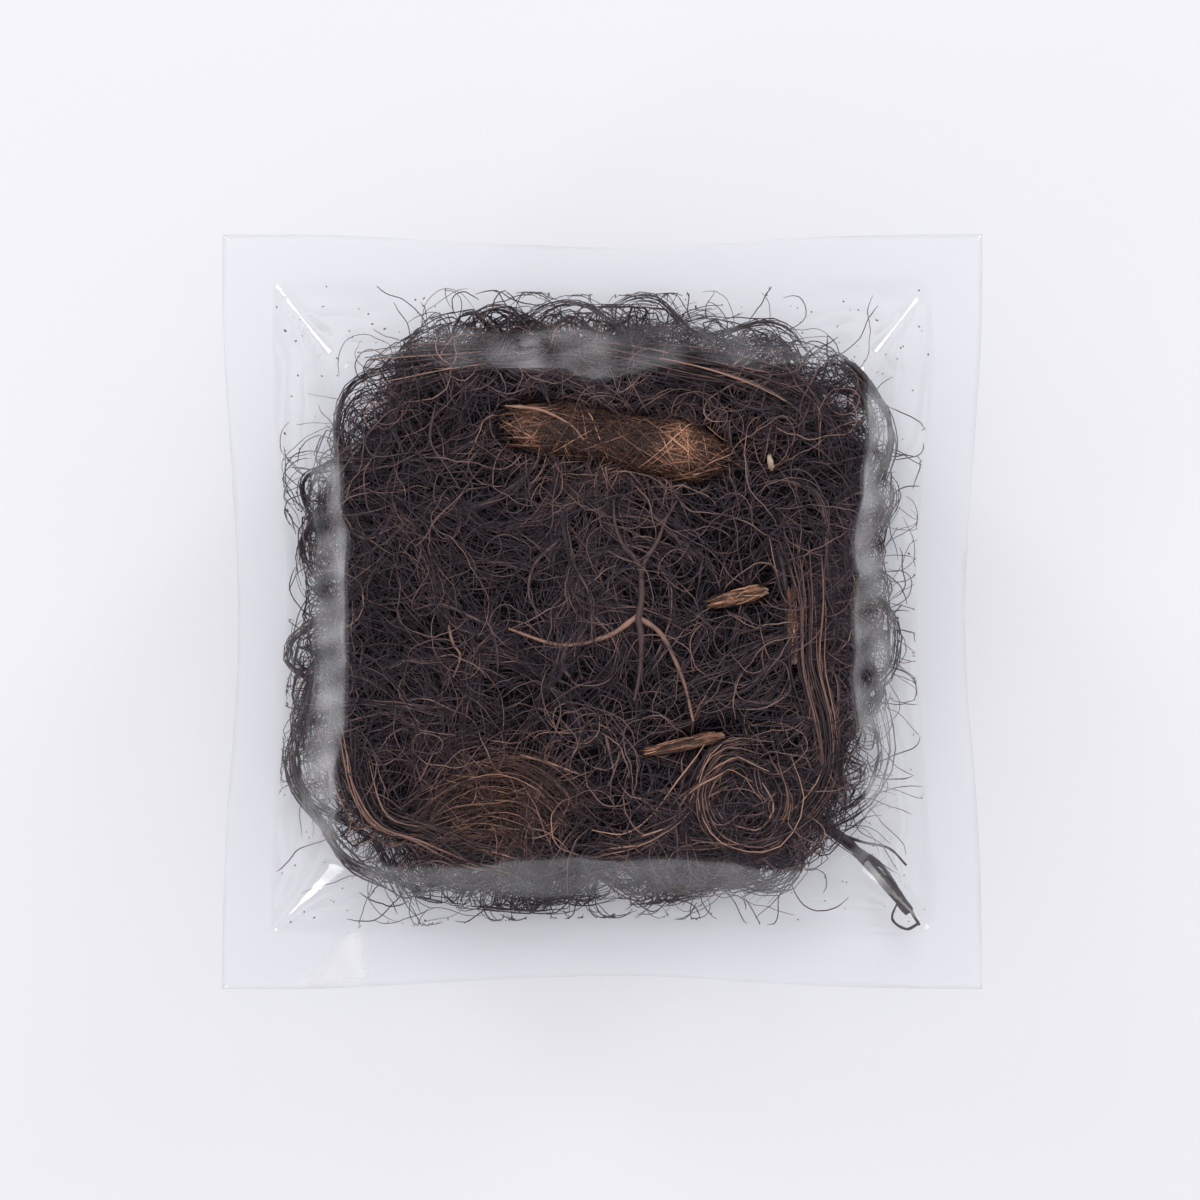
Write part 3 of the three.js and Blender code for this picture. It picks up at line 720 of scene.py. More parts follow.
# Locks and hanks of the tangle: roots that still lie side by side as they grew, in bundles of a
# few dozen. The longest hanks sweep down the right side, along the bottom and round the rim.
HANKS = [
    [(36, 14), (38.5, 2), (39.5, -10), (43, -21), (44, -31), (39, -40), (29, -45), (16, -46)],
    [(31, -29), (24, -28), (20, -35), (23, -42), (31, -43), (34, -37), (31, -31)],
    [(24, -29), (19, -34), (13, -40), (6, -45), (0, -47)],
    [(-50, -22), (-47, -33), (-42, -40), (-34, -42), (-24, -45), (-17, -46)],
    [(-43, 44), (-28, 48), (-8, 50), (12, 48), (30, 44), (41, 38)],
]


def through(points, count):
    """A smooth path through points, at even steps along it."""
    given = np.array(points, float)
    padded = np.concatenate([[2 * given[0] - given[1]], given, [2 * given[-1] - given[-2]]])
    path = []
    for a, b, c, d in zip(padded[:-3], padded[1:-2], padded[2:-1], padded[3:]):
        square, cube = 2 * a - 5 * b + 4 * c - d, 3 * b - a - 3 * c + d
        for t in np.linspace(0, 1, 24, endpoint=False):
            path.append(0.5 * (2 * b + (c - a) * t + square * t**2 + cube * t**3))
    path = np.array(path + [given[-1]])
    along = np.concatenate([[0], np.cumsum(np.linalg.norm(np.diff(path, axis=0), axis=1))])
    even = np.linspace(0, along[-1], count)
    return np.stack([np.interp(even, along, path[:, i]) for i in range(path.shape[1])], -1)


def bundle(guide, sink, count, spread, thin, thick, tones, lay=None):
    """Roots side by side along a guide, crowded in the middle and loose at the ends."""
    steps = len(guide) - 1
    ahead = np.gradient(guide, axis=0)
    ahead /= np.linalg.norm(ahead, axis=1, keepdims=True)
    aside = np.stack([-ahead[:, 1], ahead[:, 0]], -1)
    along = np.linspace(0, 1, steps + 1)[None, :]
    lane = draw.normal(0, 0.5, (count, 1)) * spread
    layer = np.abs(draw.normal(0, 0.5, (count, 1))) * spread
    sway = draw.uniform(0, 2 * np.pi, (count, 1))
    pace = draw.uniform(4, 11, (count, 1))
    loose = 0.7 + 0.9 * (2 * along - 1) ** 2
    offset = lane * loose + 0.28 * spread * np.sin(sway + pace * along)
    plan = guide[None] + offset[..., None] * aside[None]
    slip = draw.normal(0, 1.5, (count, 1))
    plan = plan + slip[..., None] * ahead[None]
    radius = tapered(count, steps, thin, thick)
    depth = sink[None] + layer + 0.25 * spread * np.cos(sway + pace * along)
    tone = np.repeat(draw.beta(*tones, count)[:, None], steps + 1, 1)
    route = laid(plan, depth, radius) if lay is None else lay(plan, depth, radius)
    return route, radius, tone, warmth_at(plan)


LOCKS = 160
LOCK_STEPS = 13
LOCK_ROOTS = 13
HANK_POINTS = 22
HANK_ROOTS = 38
HANK_WARMTH = 0.25
RIM_BUNDLES = 30
RIM_POINTS = 17
RIM_ROOTS = 12
SIDE_ROOTS = 16
SIDE_LOCKS = [
    [(-61.8, -27), (-60.3, -34), (-55, -42), (-50, -49), (-42, -53)],
    [(46, 50), (51, 45.5), (55.5, 40), (57, 33), (55, 26)],
    [(38, -38), (44, -43), (50, -47), (55, -51)],
]
MOUND_POINTS = 14
MOUND_ROOTS = 75
MOUND_WARMTH = 0.1
MOUND_ARCS = [
    [(-36, -41), (-28, -33), (-18, -30), (-9, -32.5), (-3, -38)],
    [(-35, -44), (-25, -38), (-15, -36), (-6, -40)],
    [(-31, -46), (-21, -42), (-11, -44)],
]


def amid(plan, depth, radius):
    """Heights for roots of the rim, which lie about half way between the films."""
    base, top = film_limits(plan, radius)
    middle = (top + base) / 2 + 2.0 - depth
    return with_height(plan, np.clip(middle, np.minimum(base, top), np.maximum(base, top)))


def warmed(batch, extra):
    route, radius, tone, warm = batch
    return route, radius, tone, np.clip(warm + extra, 0, 1)


lock_batches = []
lock_start = scattered(LOCKS, 0.0, 0.9)
lock_heading = nap(lock_start[:, 0], lock_start[:, 1]) + draw.normal(0, 0.3, LOCKS)
lock_curl = draw.choice([-1, 1], LOCKS) * draw.uniform(0.01, 0.1, LOCKS)
for guide in grow(lock_start, lock_heading, LOCK_STEPS, 2.0, lock_curl, 0.1, 0.06, 0.93):
    sink = face_sink(guide[:, 0], guide[:, 1]) * 0.9 + draw.uniform(0, 1.6)
    spread = draw.uniform(0.8, 2.2)
    lock_batches.append(bundle(guide, sink, LOCK_ROOTS, spread, 0.07, 0.16, (1.8, 3.4)))
locks = strand_piece("root_locks", lock_batches, ROOT_SIDES, root_finish)

hank_batches = []
for hank in HANKS:
    guide = through(hank, HANK_POINTS)
    sink = 0.5 + parting(guide[:, 0], guide[:, 1])
    batch = bundle(guide, sink, HANK_ROOTS, 3.8, 0.07, 0.28, (0.8, 1.6))
    hank_batches.append(warmed(batch, HANK_WARMTH))
for ring in range(RIM_BUNDLES):
    bearing = 2 * np.pi * (ring + draw.random()) / RIM_BUNDLES
    bearings = bearing + np.linspace(0, draw.uniform(0.35, 0.9), RIM_POINTS)
    share = draw.uniform(0.84, 0.97)
    share = share + 0.05 * np.sin(draw.uniform(0, 6) + 9 * np.linspace(0, 1, RIM_POINTS))
    guide = from_centre(bearings, np.minimum(share, 1.0) * rim_reach(bearings))
    spread = draw.uniform(0.5, 2.4)
    sink = np.full(RIM_POINTS, draw.uniform(0, 3))
    hank_batches.append(bundle(guide, sink, RIM_ROOTS, spread, 0.08, 0.17, (1.4, 4.0), amid))
for path in SIDE_LOCKS:
    guide, sink = through(path, RIM_POINTS), np.full(RIM_POINTS, 1.0)
    hank_batches.append(bundle(guide, sink, SIDE_ROOTS, 1.1, 0.09, 0.26, (1.4, 4.0), amid))
for path in MOUND_ARCS:
    guide, sink = through(path, MOUND_POINTS), np.full(MOUND_POINTS, 0.4)
    batch = bundle(guide, sink, MOUND_ROOTS, 4.2, 0.04, 0.09, (1.3, 2.6))
    hank_batches.append(warmed(batch, MOUND_WARMTH))
hanks = strand_piece("root_hanks", hank_batches, ROOT_SIDES, root_finish)
for bunch in (locks, hanks):
    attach(bunch, "root")
    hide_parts("root_tangle")

# Wiry rootlets on the face of the tangle: single curled roots with a dry sheen, the palest ones
# of the mass, which lie loose over the mat right under the film.
WIRY = 1150
WIRY_STEPS = 21
wiry_start = scattered(WIRY, 0.0, 0.93)
wiry_curl = draw.choice([-1, 1], WIRY) * draw.uniform(0.06, 0.3, WIRY)
wiry_turn = draw.uniform(0, 2 * np.pi, WIRY)
wiry_plan = grow(wiry_start, wiry_turn, WIRY_STEPS, 1.15, wiry_curl, 0.2, 0.0, 0.95)
wiry_radius = tapered(WIRY, WIRY_STEPS, 0.07, 0.15)
wiry_depth = waved(WIRY, WIRY_STEPS, draw.uniform(0, 1.6, WIRY), 0.7)
wiry_over = (draw.random((WIRY, 1)) < 0.12) * 0.9
wiry_x, wiry_y = wiry_plan[..., 0], wiry_plan[..., 1]
wiry_sink = wiry_depth + 0.6 * face_sink(wiry_x, wiry_y)
wiry_sink = wiry_sink + (0.4 - wiry_over) * parting(wiry_x, wiry_y)
wiry_tone = np.repeat(draw.beta(2.0, 2.6, WIRY)[:, None], WIRY_STEPS + 1, 1)
wiry_route = laid(wiry_plan, wiry_sink, wiry_radius)
wiry_batch = (wiry_route, wiry_radius, wiry_tone, warmth_at(wiry_plan))
wiry = strand_piece("wiry_rootlets", [wiry_batch], ROOT_SIDES, root_finish)
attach(wiry, "root")

# Stray rootlets: single thin roots that have worked out of the rim of the mass and lie in the
# clear margin, a little over the back film, without crossing the welds.
STRAYS = 290
STRAY_STEPS = 16
STRAY_WELD_GAP = 0.9
stray_angle = draw.uniform(-np.pi, np.pi, STRAYS)
stray_reach = rim_reach(stray_angle) * draw.uniform(0.93, 1.0, STRAYS)
stray_place = from_centre(stray_angle, stray_reach)
stray_turn = stray_angle + draw.normal(0, 1.1, STRAYS)
stray_bend = draw.normal(0, 0.12, STRAYS)
stray_stride = draw.uniform(0.3, 1.15, STRAYS)
stray_plan = np.empty((STRAYS, STRAY_STEPS + 1, 2))
for k in range(STRAY_STEPS + 1):
    stray_plan[:, k] = stray_place
    margin = film_depth(stray_place[:, 0], stray_place[:, 1])
    home = np.sin(stray_angle + np.pi - stray_turn)
    stray_bend = 0.9 * stray_bend + 0.07 * draw.normal(size=STRAYS)
    pull = 0.1 * (1 - smoothstep(1.5, 4.0, margin)) * home
    stray_turn = stray_turn + stray_stride * (stray_bend + pull)
    stray_turn = stray_turn + 0.12 * draw.normal(size=STRAYS)
    step = stray_stride[:, None] * np.stack([np.cos(stray_turn), np.sin(stray_turn)], -1)
    onward = stray_place + step
    stays = film_depth(onward[:, 0], onward[:, 1]) > STRAY_WELD_GAP
    backward = stray_place + 0.15 * (np.array(MASS_CENTRE) - stray_place) / MASS_HALF
    stray_place = np.where(stays[:, None], onward, backward)
stray_radius = tapered(STRAYS, STRAY_STEPS, 0.07, 0.15)
stray_lift = waved(STRAYS, STRAY_STEPS, draw.uniform(0.3, 4.0, STRAYS), 0.5)
stray_tone = np.repeat(draw.beta(1.6, 4.0, STRAYS)[:, None], STRAY_STEPS + 1, 1)
stray_batch = (raised(stray_plan, stray_lift, stray_radius), stray_radius, stray_tone, 0.1)
strays = strand_piece("stray_rootlets", [stray_batch], ROOT_SIDES, root_finish)
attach(strays, "root")

# Tufted rhizome: the thick underground stem, wrapped in a sheath of old leaf stalks that have
# worn down to a net of coppery fibres. It lies near the top of the mass, just under the film.
RHIZOME_AXIS = [(-17, 36), (-6, 35), (4, 33), (14, 31), (23, 29.5)]
RHIZOME_RADIUS = 5.6
RHIZOME_SINK = 6.8
RHIZOME_LENGTH = 42.0
CORE_SIDES = 20
SHEATH_FIBRES = 2500
SHEATH_STEPS = 5
AXIS_POINTS = 60


def seated(points, sink):
    """Points in plan, set a distance under the front film."""
    plan = np.array(points, float)
    return with_height(plan, under_front(plan[:, 0], plan[:, 1], sink))


def cross_frames(path):
    """Two directions across a path at each of its points: level, and upward."""
    ahead = np.gradient(path, axis=0)
    ahead /= np.linalg.norm(ahead, axis=1, keepdims=True)
    aside = np.cross(ahead, [0.0, 0.0, 1.0])
    aside /= np.linalg.norm(aside, axis=1, keepdims=True)
    return aside, np.cross(aside, ahead)


def around(path, share, turn, girth):
    """Points round a path, at a share of its length, a turn about it and a distance from it."""
    aside, upward = cross_frames(path)
    known = np.linspace(0, 1, len(path))
    route = np.empty((*share.shape, 3))
    for axis in range(3):
        centre = np.interp(share, known, path[:, axis])
        across = np.interp(share, known, aside[:, axis]) * np.cos(turn)
        above = np.interp(share, known, upward[:, axis]) * np.sin(turn)
        route[..., axis] = centre + girth * (across + above)
    return route


def rhizome_girth(share):
    """Radius along the rhizome: two tufts, one tucked into the other."""
    left = 0.72 + 0.28 * smoothstep(0, 0.25, share)
    right = 1 - 0.4 * smoothstep(0.84, 1.03, share)
    tuck = 0.12 * np.exp(-(((share - 0.43) / 0.05) ** 2))
    return RHIZOME_RADIUS * (left * right - tuck)


rhizome_axis = through(seated(RHIZOME_AXIS, RHIZOME_SINK), AXIS_POINTS)
core_girth = 0.9 * rhizome_girth(np.linspace(0, 1, AXIS_POINTS))
core_batch = (rhizome_axis[None], core_girth[None], 0.08, 1.0)
rhizome_core = strand_piece("rhizome_core", [core_batch], CORE_SIDES, root_finish)
each = (SHEATH_FIBRES, 1)
fibre_along = draw.uniform(-0.08, 0.9, each)
fibre_length = draw.uniform(0.06, 0.3, each)
fibre_end = np.minimum(fibre_along + fibre_length, draw.uniform(0.95, 1.16, each))
fibre_share = fibre_along + (fibre_end - fibre_along) * np.linspace(0, 1, SHEATH_STEPS + 1)
fibre_turn = draw.uniform(0, 2 * np.pi, each)
fibre_turn = fibre_turn + draw.normal(0, 0.6, each) * np.linspace(-1, 1, SHEATH_STEPS + 1)
fibre_turn = fibre_turn + 0.12 * np.sin(9 * fibre_share + draw.uniform(0, 6.28, each))
fibre_proud = 0.88 + 0.18 * draw.random(each) + 0.3 * (draw.random(each) < 0.05)
fibre_proud = fibre_proud + 0.05 * np.sin(14 * fibre_share + fibre_turn)
fibre_girth = rhizome_girth(np.clip(fibre_share, 0, 1)) * fibre_proud
sheath_route = around(rhizome_axis, fibre_share, fibre_turn, fibre_girth)
past_end = np.clip(fibre_share - 1, 0, None) + np.clip(fibre_share, None, 0)
sheath_route[..., 0] += RHIZOME_LENGTH * past_end
sheath_radius = tapered(SHEATH_FIBRES, SHEATH_STEPS, 0.04, 0.12)
ceiling = under_front(sheath_route[..., 0], sheath_route[..., 1], ROOT_CLEAR + sheath_radius)
sheath_route[..., 2] = np.minimum(sheath_route[..., 2], ceiling)
sheath_tone = np.repeat(draw.beta(0.7, 2.2, SHEATH_FIBRES)[:, None], SHEATH_STEPS + 1, 1)
# Painted highlights on the sheath: lighter on its upper side near the right-hand end, and lighter
# all round near the left end
painted_highlight_band = np.exp(-(((fibre_share - 0.8) / 0.1) ** 2))
sheath_tone = sheath_tone + 0.42 * painted_highlight_band * np.clip(np.sin(fibre_turn - 0.5), 0, 1)
sheath_tone = sheath_tone + 0.2 * np.exp(-(((fibre_share - 0.08) / 0.08) ** 2))
sheath_batch = (sheath_route, sheath_radius, sheath_tone, 1.0)
sheath = strand_piece("rhizome_sheath", [sheath_batch], ROOT_SIDES, root_finish)
for tuft in (rhizome_core, sheath):
    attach(tuft, "root")
    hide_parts("tufted_rhizome")

# Thick roots: wrinkled, paler main roots a millimetre or two across. One forks over the middle of
# the tangle, one cut root pokes out at the lower right corner, and others lie loose in the mass.
FORK_BRANCHES = [
    ([(7.0, -1.2), (7.6, 3.5), (7.0, 9), (4.2, 12.5), (2.5, 16.7), (2.2, 21.5)], 0.75, 0.34, 0.3),
    ([(7.4, 7), (8.4, 10), (10.6, 13.5), (12.2, 17.6), (14.5, 21.5)], 0.6, 0.34, 0.3),
    ([(6.8, -0.8), (1, -4.6), (-8, -6.3), (-18, -3.2)], 0.55, 0.62, 0.45),
    ([(6.6, -0.8), (11.5, -4.5), (15.5, -13), (17.5, -21)], 0.55, 0.56, 0.45),
    ([(6.9, -0.8), (7.6, -6), (7.2, -12), (6.2, -17)], 0.8, 0.3, 0.4),
]
FORK_SINK = 1.5
CORNER_ROOT = [(40, -37.5), (44, -42), (49.5, -46.5), (55, -52.5), (60.6, -59.2)]
CORNER_TWIGS = [
    ([(49, -46), (54.5, -49.5), (58.5, -55), (62.6, -61.8)], 0.5),
    ([(62.4, -61.5), (60.0, -62.6), (57.2, -60.5), (58.6, -56.6)], 0.32),
    ([(44, -42.5), (51, -45.2), (56.5, -46.6), (60, -50)], 0.34),
]
LOOSE_ROOTS = [
    ([(-29.5, -2.5), (-28.6, -6), (-27.2, -8.5), (-28.5, -12.5)], 0.33, 0.58, 1.0),
    ([(-15.7, -27.4), (-10, -29), (-4.2, -31.2)], 0.3, 0.66, 0.9),
    ([(0.6, -23.5), (1.6, -27.5), (2.2, -31), (1.0, -33.5)], 0.42, 0.5, 1.0),
    ([(-18.6, 39.6), (-12, 38.8), (-6.2, 36), (-3.5, 33)], 0.38, 0.62, 0.6),
    ([(33.5, 13), (34.8, 8), (35.5, 2), (36.5, -4)], 0.8, 0.3, 1.5),
    ([(47, 49), (51, 45), (55.5, 40), (56.5, 34)], 0.7, 0.18, 1.5),
    ([(48.5, 45), (50.5, 40.5), (53, 36), (51, 31)], 0.55, 0.2, 1.5),
    ([(-61.8, -28), (-60.6, -34), (-55, -42), (-50, -49)], 0.5, 0.15, 2.5),
    ([(-60, -27), (-59, -35), (-51.5, -43.5), (-43, -52)], 0.42, 0.2, 3.0),
    ([(-20, -3.4), (-25, -1), (-31, 1.5), (-36, 0.5)], 0.4, 0.5, 0.9),
    ([(-44, 12), (-40, 20), (-38, 29), (-41, 36)], 0.55, 0.35, 1.6),
    ([(-32, 40), (-33, 33), (-30, 28), (-27.5, 24)], 0.32, 0.4, 1.0),
    ([(41, 22), (44, 14), (42.5, 6), (45.5, -3)], 0.5, 0.4, 1.2),
    ([(-8, 14), (-13, 9), (-14, 3), (-11, -2)], 0.42, 0.45, 1.0),
]
FORK_POINTS = 34
CORNER_POINTS = 30
TWIG_POINTS = 24
LOOSE_POINTS = 26
THICK_SIDES = 8
LOOSE_SIDES = 7


def gnarled(count, radius, end_share):
    """Radii of a dried root: wrinkled all along and thinner towards its end."""
    along = np.linspace(0, 1, count)
    wrinkle = 0.07 * np.sin(31 * along + 9 * radius) + 0.05 * np.sin(57 * along + 4 * radius)
    return radius * (1 + (end_share - 1) * along) * (1 + wrinkle)


fork_batches = []
for plan, radius, tone, end_share in FORK_BRANCHES:
    route = through(seated(plan, FORK_SINK), FORK_POINTS)
    fork_batches.append((route[None], gnarled(FORK_POINTS, radius, end_share)[None], tone, 0.5))
fork = strand_piece("forked_thick_root", fork_batches, THICK_SIDES, root_finish)
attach(fork, "root")
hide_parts("forked_root")


def in_margin(points, count, radius):
    """A route through the clear margin, half way between the films."""
    plan = through(points, count)[None]
    base, top = film_limits(plan, radius)
    return with_height(plan, base + 0.5 * (top - base))


corner_route = in_margin(CORNER_ROOT, CORNER_POINTS, 1.0)
corner_batches = [(corner_route, gnarled(CORNER_POINTS, 1.05, 1.0)[None], 0.2, 0.15)]
for plan, radius in CORNER_TWIGS:
    route = in_margin(plan, TWIG_POINTS, radius)
    corner_batches.append((route, gnarled(TWIG_POINTS, radius, 0.6)[None], 0.2, 0.1))
corner = strand_piece("corner_cut_root", corner_batches, THICK_SIDES, root_finish)
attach(corner, "root")
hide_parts("corner_root")

loose_batches = []
loose_taper = 0.35 + 0.65 * np.minimum(1, 6 * np.linspace(0, 1, LOOSE_POINTS))
for plan, radius, tone, sink in LOOSE_ROOTS:
    sunk = np.full((1, LOOSE_POINTS), sink)
    route = laid(through(plan, LOOSE_POINTS)[None], sunk, radius)
    thick = gnarled(LOOSE_POINTS, radius, 0.4) * loose_taper
    loose_batches.append((route, thick[None], tone, 0.6 if tone > 0.55 else 0.2))
loose = strand_piece("loose_thick_roots", loose_batches, LOOSE_SIDES, root_finish)
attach(loose, "root")

# Bits of woody stem: short lengths of split, dry stalk, torn at one end and cut pale at the other,
# and one small pale broken tip. They lie half sunk in the mat.
STUBS = {
    "wood_stub_upper": ((21, 1.6), (31.2, 4.2), 1.35, 2.3),
    "wood_stub_lower": ((8.5, -27), (23, -23.7), 1.05, 2.2),
    "wood_stub_side": ((36, 4), (37, -9.5), 1.15, 2.2),
    "broken_tip": ((32.1, 29.7), (32.6, 27.3), 0.55, 1.1),
}
STUB_RINGS = 26
STUB_SIDES = 22
SPLINTERS = 80
SPLINTER_STEPS = 5


def stub_path(start, end, sink):
    middle = ((start[0] + end[0]) / 2, (start[1] + end[1]) / 2)
    return through(seated([start, middle, end], sink), STUB_RINGS)


def stub_mesh(name, start, end, radius, sink):
    """A ridged rod with a torn first end and a sloping cut at the last."""
    path = stub_path(start, end, sink)
    aside, upward = cross_frames(path)
    share = np.linspace(0, 1, STUB_RINGS)[:, None]
    turn = np.linspace(0, 2 * np.pi, STUB_SIDES, endpoint=False)[None, :]
    ridges = 1 + 0.12 * np.sin(5 * turn + 3 * share + radius) + 0.09 * np.sin(9 * turn - 4 * share)
    ridges = ridges + 0.08 * np.sin(11 * share + 2 * turn) + 0.08 * np.sin(17 * share + radius)
    girth = radius * ridges * (0.6 + 0.4 * smoothstep(0, 0.3, share))
    girth = girth * (1 - 0.3 * smoothstep(0.86, 1, share))
    splinters = np.sin(3 * turn + radius) + 0.7 * np.sin(7 * turn)
    tear = 0.9 * radius * splinters * (1 - smoothstep(0, 0.2, share))
    slope = 0.45 * radius * (np.sin(turn + 0.6) + 0.5 * np.sin(5 * turn))
    slope = slope * smoothstep(0.85, 1, share)
    ahead = np.cross(upward, aside)
    points = path[:, None] + girth[..., None] * (
        np.cos(turn)[..., None] * aside[:, None] + np.sin(turn)[..., None] * upward[:, None]
    )
    points = points + (tear + slope)[..., None] * ahead[:, None]
    ring_points = points.reshape(-1, 3)
    hubs = np.stack([path[0] + 0.5 * radius * ahead[0], path[-1]])
    index = np.arange(STUB_RINGS * STUB_SIDES).reshape(STUB_RINGS, STUB_SIDES)
    beside = np.roll(index, -1, axis=1)
    faces = np.stack([index[:-1], beside[:-1], beside[1:], index[1:]], -1).reshape(-1, 4).tolist()
    first_hub = STUB_RINGS * STUB_SIDES
    faces += [[first_hub, b, a] for a, b in zip(index[0], beside[0])]
    faces += [[first_hub + 1, a, b] for a, b in zip(index[-1], beside[-1])]
    mesh = bpy.data.meshes.new(name)
    faces = [[int(i) for i in face] for face in faces]
    mesh.from_pydata(np.concatenate([ring_points, hubs]) * MM, [], faces)
    along = np.concatenate([np.repeat(share[:, 0], STUB_SIDES), [0, 1]])
    if name == "broken_tip":
        pale = np.clip(1 - 0.9 * along, 0, 1)
    else:
        pale = smoothstep(0.95, 1.0, along) * 0.35
        pale[-2:] = 0.1, 0.6
    set_values(mesh, "cut", pale)
    round_it = np.concatenate([np.tile(turn[0], STUB_RINGS), [0, 0]])
    grain = np.stack([along * 3, np.cos(round_it), np.sin(round_it)], -1)
    layer = mesh.attributes.new("grain", "FLOAT_VECTOR", "POINT")
    layer.data.foreach_set("vector", grain.astype(np.float32).reshape(-1))
    mesh.shade_smooth()
    return add_object(name + "_wood", mesh)


def split_wood():
    """Dry stalk: golden to dark brown in streaks along the grain, pale where it is cut."""
    finish, tree = new_finish("split_wood")
    coarse = {"Vector": attribute(tree, "grain", "Vector"), "Scale": 5.0, "Detail": 6.0}
    streaks = add_node(tree, "ShaderNodeTexNoise", {**coarse, "Distortion": 0.4}).outputs["Fac"]
    shade = shade_ramp(tree, streaks, [(0.34, (0.022, 0.012, 0.009)), (0.68, (0.4, 0.18, 0.095))])
    blend = {"Factor": attribute(tree, "cut"), "A": shade, "B": (0.78, 0.62, 0.47, 1)}
    colour = add_node(tree, "ShaderNodeMix", blend, data_type="RGBA").outputs["Result"]
    split = {"Strength": 0.8, "Distance": 0.0004, "Height": streaks}
    bump = add_node(tree, "ShaderNodeBump", split).outputs["Normal"]
    skin = {"Base Color": colour, "Normal": bump, "Roughness": 0.55}
    feed(tree.nodes["Principled BSDF"], skin)
    return finish


def splinters(start, end, radius, sink):
    """Loosened wood fibres that lie along a stub."""
    path = stub_path(start, end, sink)
    each = (SPLINTERS, 1)
    first = draw.uniform(-0.04, 0.75, each)
    length = draw.uniform(0.15, 0.6, each)
    last = np.minimum(first + length, draw.uniform(0.9, 1.06, each))
    share = first + (last - first) * np.linspace(0, 1, SPLINTER_STEPS + 1)
    within = np.clip(share, 0, 1)
    turn = draw.uniform(0, 2 * np.pi, each)
    turn = turn + draw.normal(0, 0.25, each) * np.linspace(-1, 1, SPLINTER_STEPS + 1)
    girth = radius * draw.uniform(0.92, 1.18, each) * (0.75 + 0.25 * np.sin(np.pi * within))
    route = around(path, share, turn, girth)
    route = route + (share - within)[..., None] * (path[-1] - path[0])
    thick = tapered(SPLINTERS, SPLINTER_STEPS, 0.06, 0.2)
    tone = np.repeat(draw.beta(0.8, 1.3, SPLINTERS)[:, None], SPLINTER_STEPS + 1, 1)
    return route, thick, tone, 1.0


wood_finish = split_wood()
for name, (start, end, radius, sink) in STUBS.items():
    stub = stub_mesh(name, start, end, radius, sink)
    stub.data.materials.append(wood_finish)
    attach(stub, "root")
    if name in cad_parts:
        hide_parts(name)
stub_fibres = [splinters(*stub) for name, stub in STUBS.items() if name != "broken_tip"]
stub_skin = strand_piece("stub_splinters", stub_fibres, ROOT_SIDES, root_finish)
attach(stub_skin, "root")

# Crumbs: grains of soil and root dust, shaken out of the roots into the clear margin of the
# pouch, where they lie on the back film.
CRUMBS = 150
CRUMB_SEED = 5
CRUMB_RADIUS = 0.27
CRUMB_FIELD = 66


def crumb_tree():
    """A rough grain on every point, each turned and sized its own way."""
    inputs = {"Places": "Geometry", "Grain": "Float", "Seed": "Int", "Finish": "Material"}
    tree, given, made = new_node_tree("crumb_scatter", inputs, "Crumbs")
    points = add_node(tree, "GeometryNodeMeshToPoints", {"Mesh": given["Places"]})
    ball = {"Radius": given["Grain"], "Subdivisions": 1}
    grain = add_node(tree, "GeometryNodeMeshIcoSphere", ball)
    turn, shape = (
        add_node(
            tree, "FunctionNodeRandomValue", {"Min": least, "Max": most, "Seed": given["Seed"]},
            data_type="FLOAT_VECTOR",
        ).outputs["Value"]
        for least, most in (
            ((0.0, 0.0, 0.0), (6.28, 6.28, 6.28)),
            ((0.3, 0.3, 0.3), (1.7, 0.9, 0.7)),
        )
    )
    scatter = {
        "Points": points.outputs["Points"], "Instance": grain.outputs["Mesh"],
        "Rotation": turn, "Scale": shape,
    }
    spread = add_node(tree, "GeometryNodeInstanceOnPoints", scatter)
    feed(made, {"Crumbs": painted(tree, spread.outputs["Instances"], given["Finish"])})
    return tree


def crumb_soil():
    finish, tree = new_finish("crumb_soil")
    patches = noise(tree, Scale=300.0)
    shade = shade_ramp(tree, patches, [(0, (0.02, 0.013, 0.01)), (1, (0.16, 0.09, 0.06))])
    feed(tree.nodes["Principled BSDF"], {"Base Color": shade, "Roughness": 0.9})
    return finish


crumb_places = []
while len(crumb_places) < CRUMBS:
    x, y = (np.array(draw.uniform(-CRUMB_FIELD, CRUMB_FIELD)) for _ in range(2))
    share, _ = rim_share(x, y)
    if share > 0.98 and film_depth(x, y) > 1.2:
        crumb_places.append([float(part) * MM for part in (x, y, over_back(x, y, 0.2))])
crumb_mesh = bpy.data.meshes.new("crumbs")
crumb_mesh.from_pydata(crumb_places, [], [])
crumbs = add_object("crumbs", crumb_mesh)
crumb_modifier = crumbs.modifiers.new("scatter", "NODES")
crumb_modifier.node_group = crumb_tree()
set_input(crumb_modifier, "Grain", CRUMB_RADIUS * MM)
set_input(crumb_modifier, "Seed", CRUMB_SEED)
set_input(crumb_modifier, "Finish", crumb_soil())
made_plain(crumbs)
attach(crumbs, "root")

# Front film of the pouch: the same clear film as the back, drawn up over the roots. It rises from
# the weld in a steep wall to a nearly flat face, and is stretched taut from its four corners.
STRAIGHT_START = 6.5
STRAIGHT_END = 14.2


def hip_share(x, y):
    """Where the film is stretched straight between a corner of the welds and the shoulder."""
    beside = half_width_at(y) - SEAL_SIDE - np.abs(x)
    top = half_height_at(x) - SEAL_TOP - y
    bottom = half_height_at(x) - SEAL_BOTTOM + y
    upper = np.minimum(beside, TOP_SHARE * top) - CORNER_SHARE * (beside + top)
    lower = np.minimum(beside, bottom) - CORNER_SHARE * (beside + bottom)
    return np.clip(smoothstep(-0.5, 0.3, upper) + smoothstep(-0.5, 0.3, lower), 0, 1)


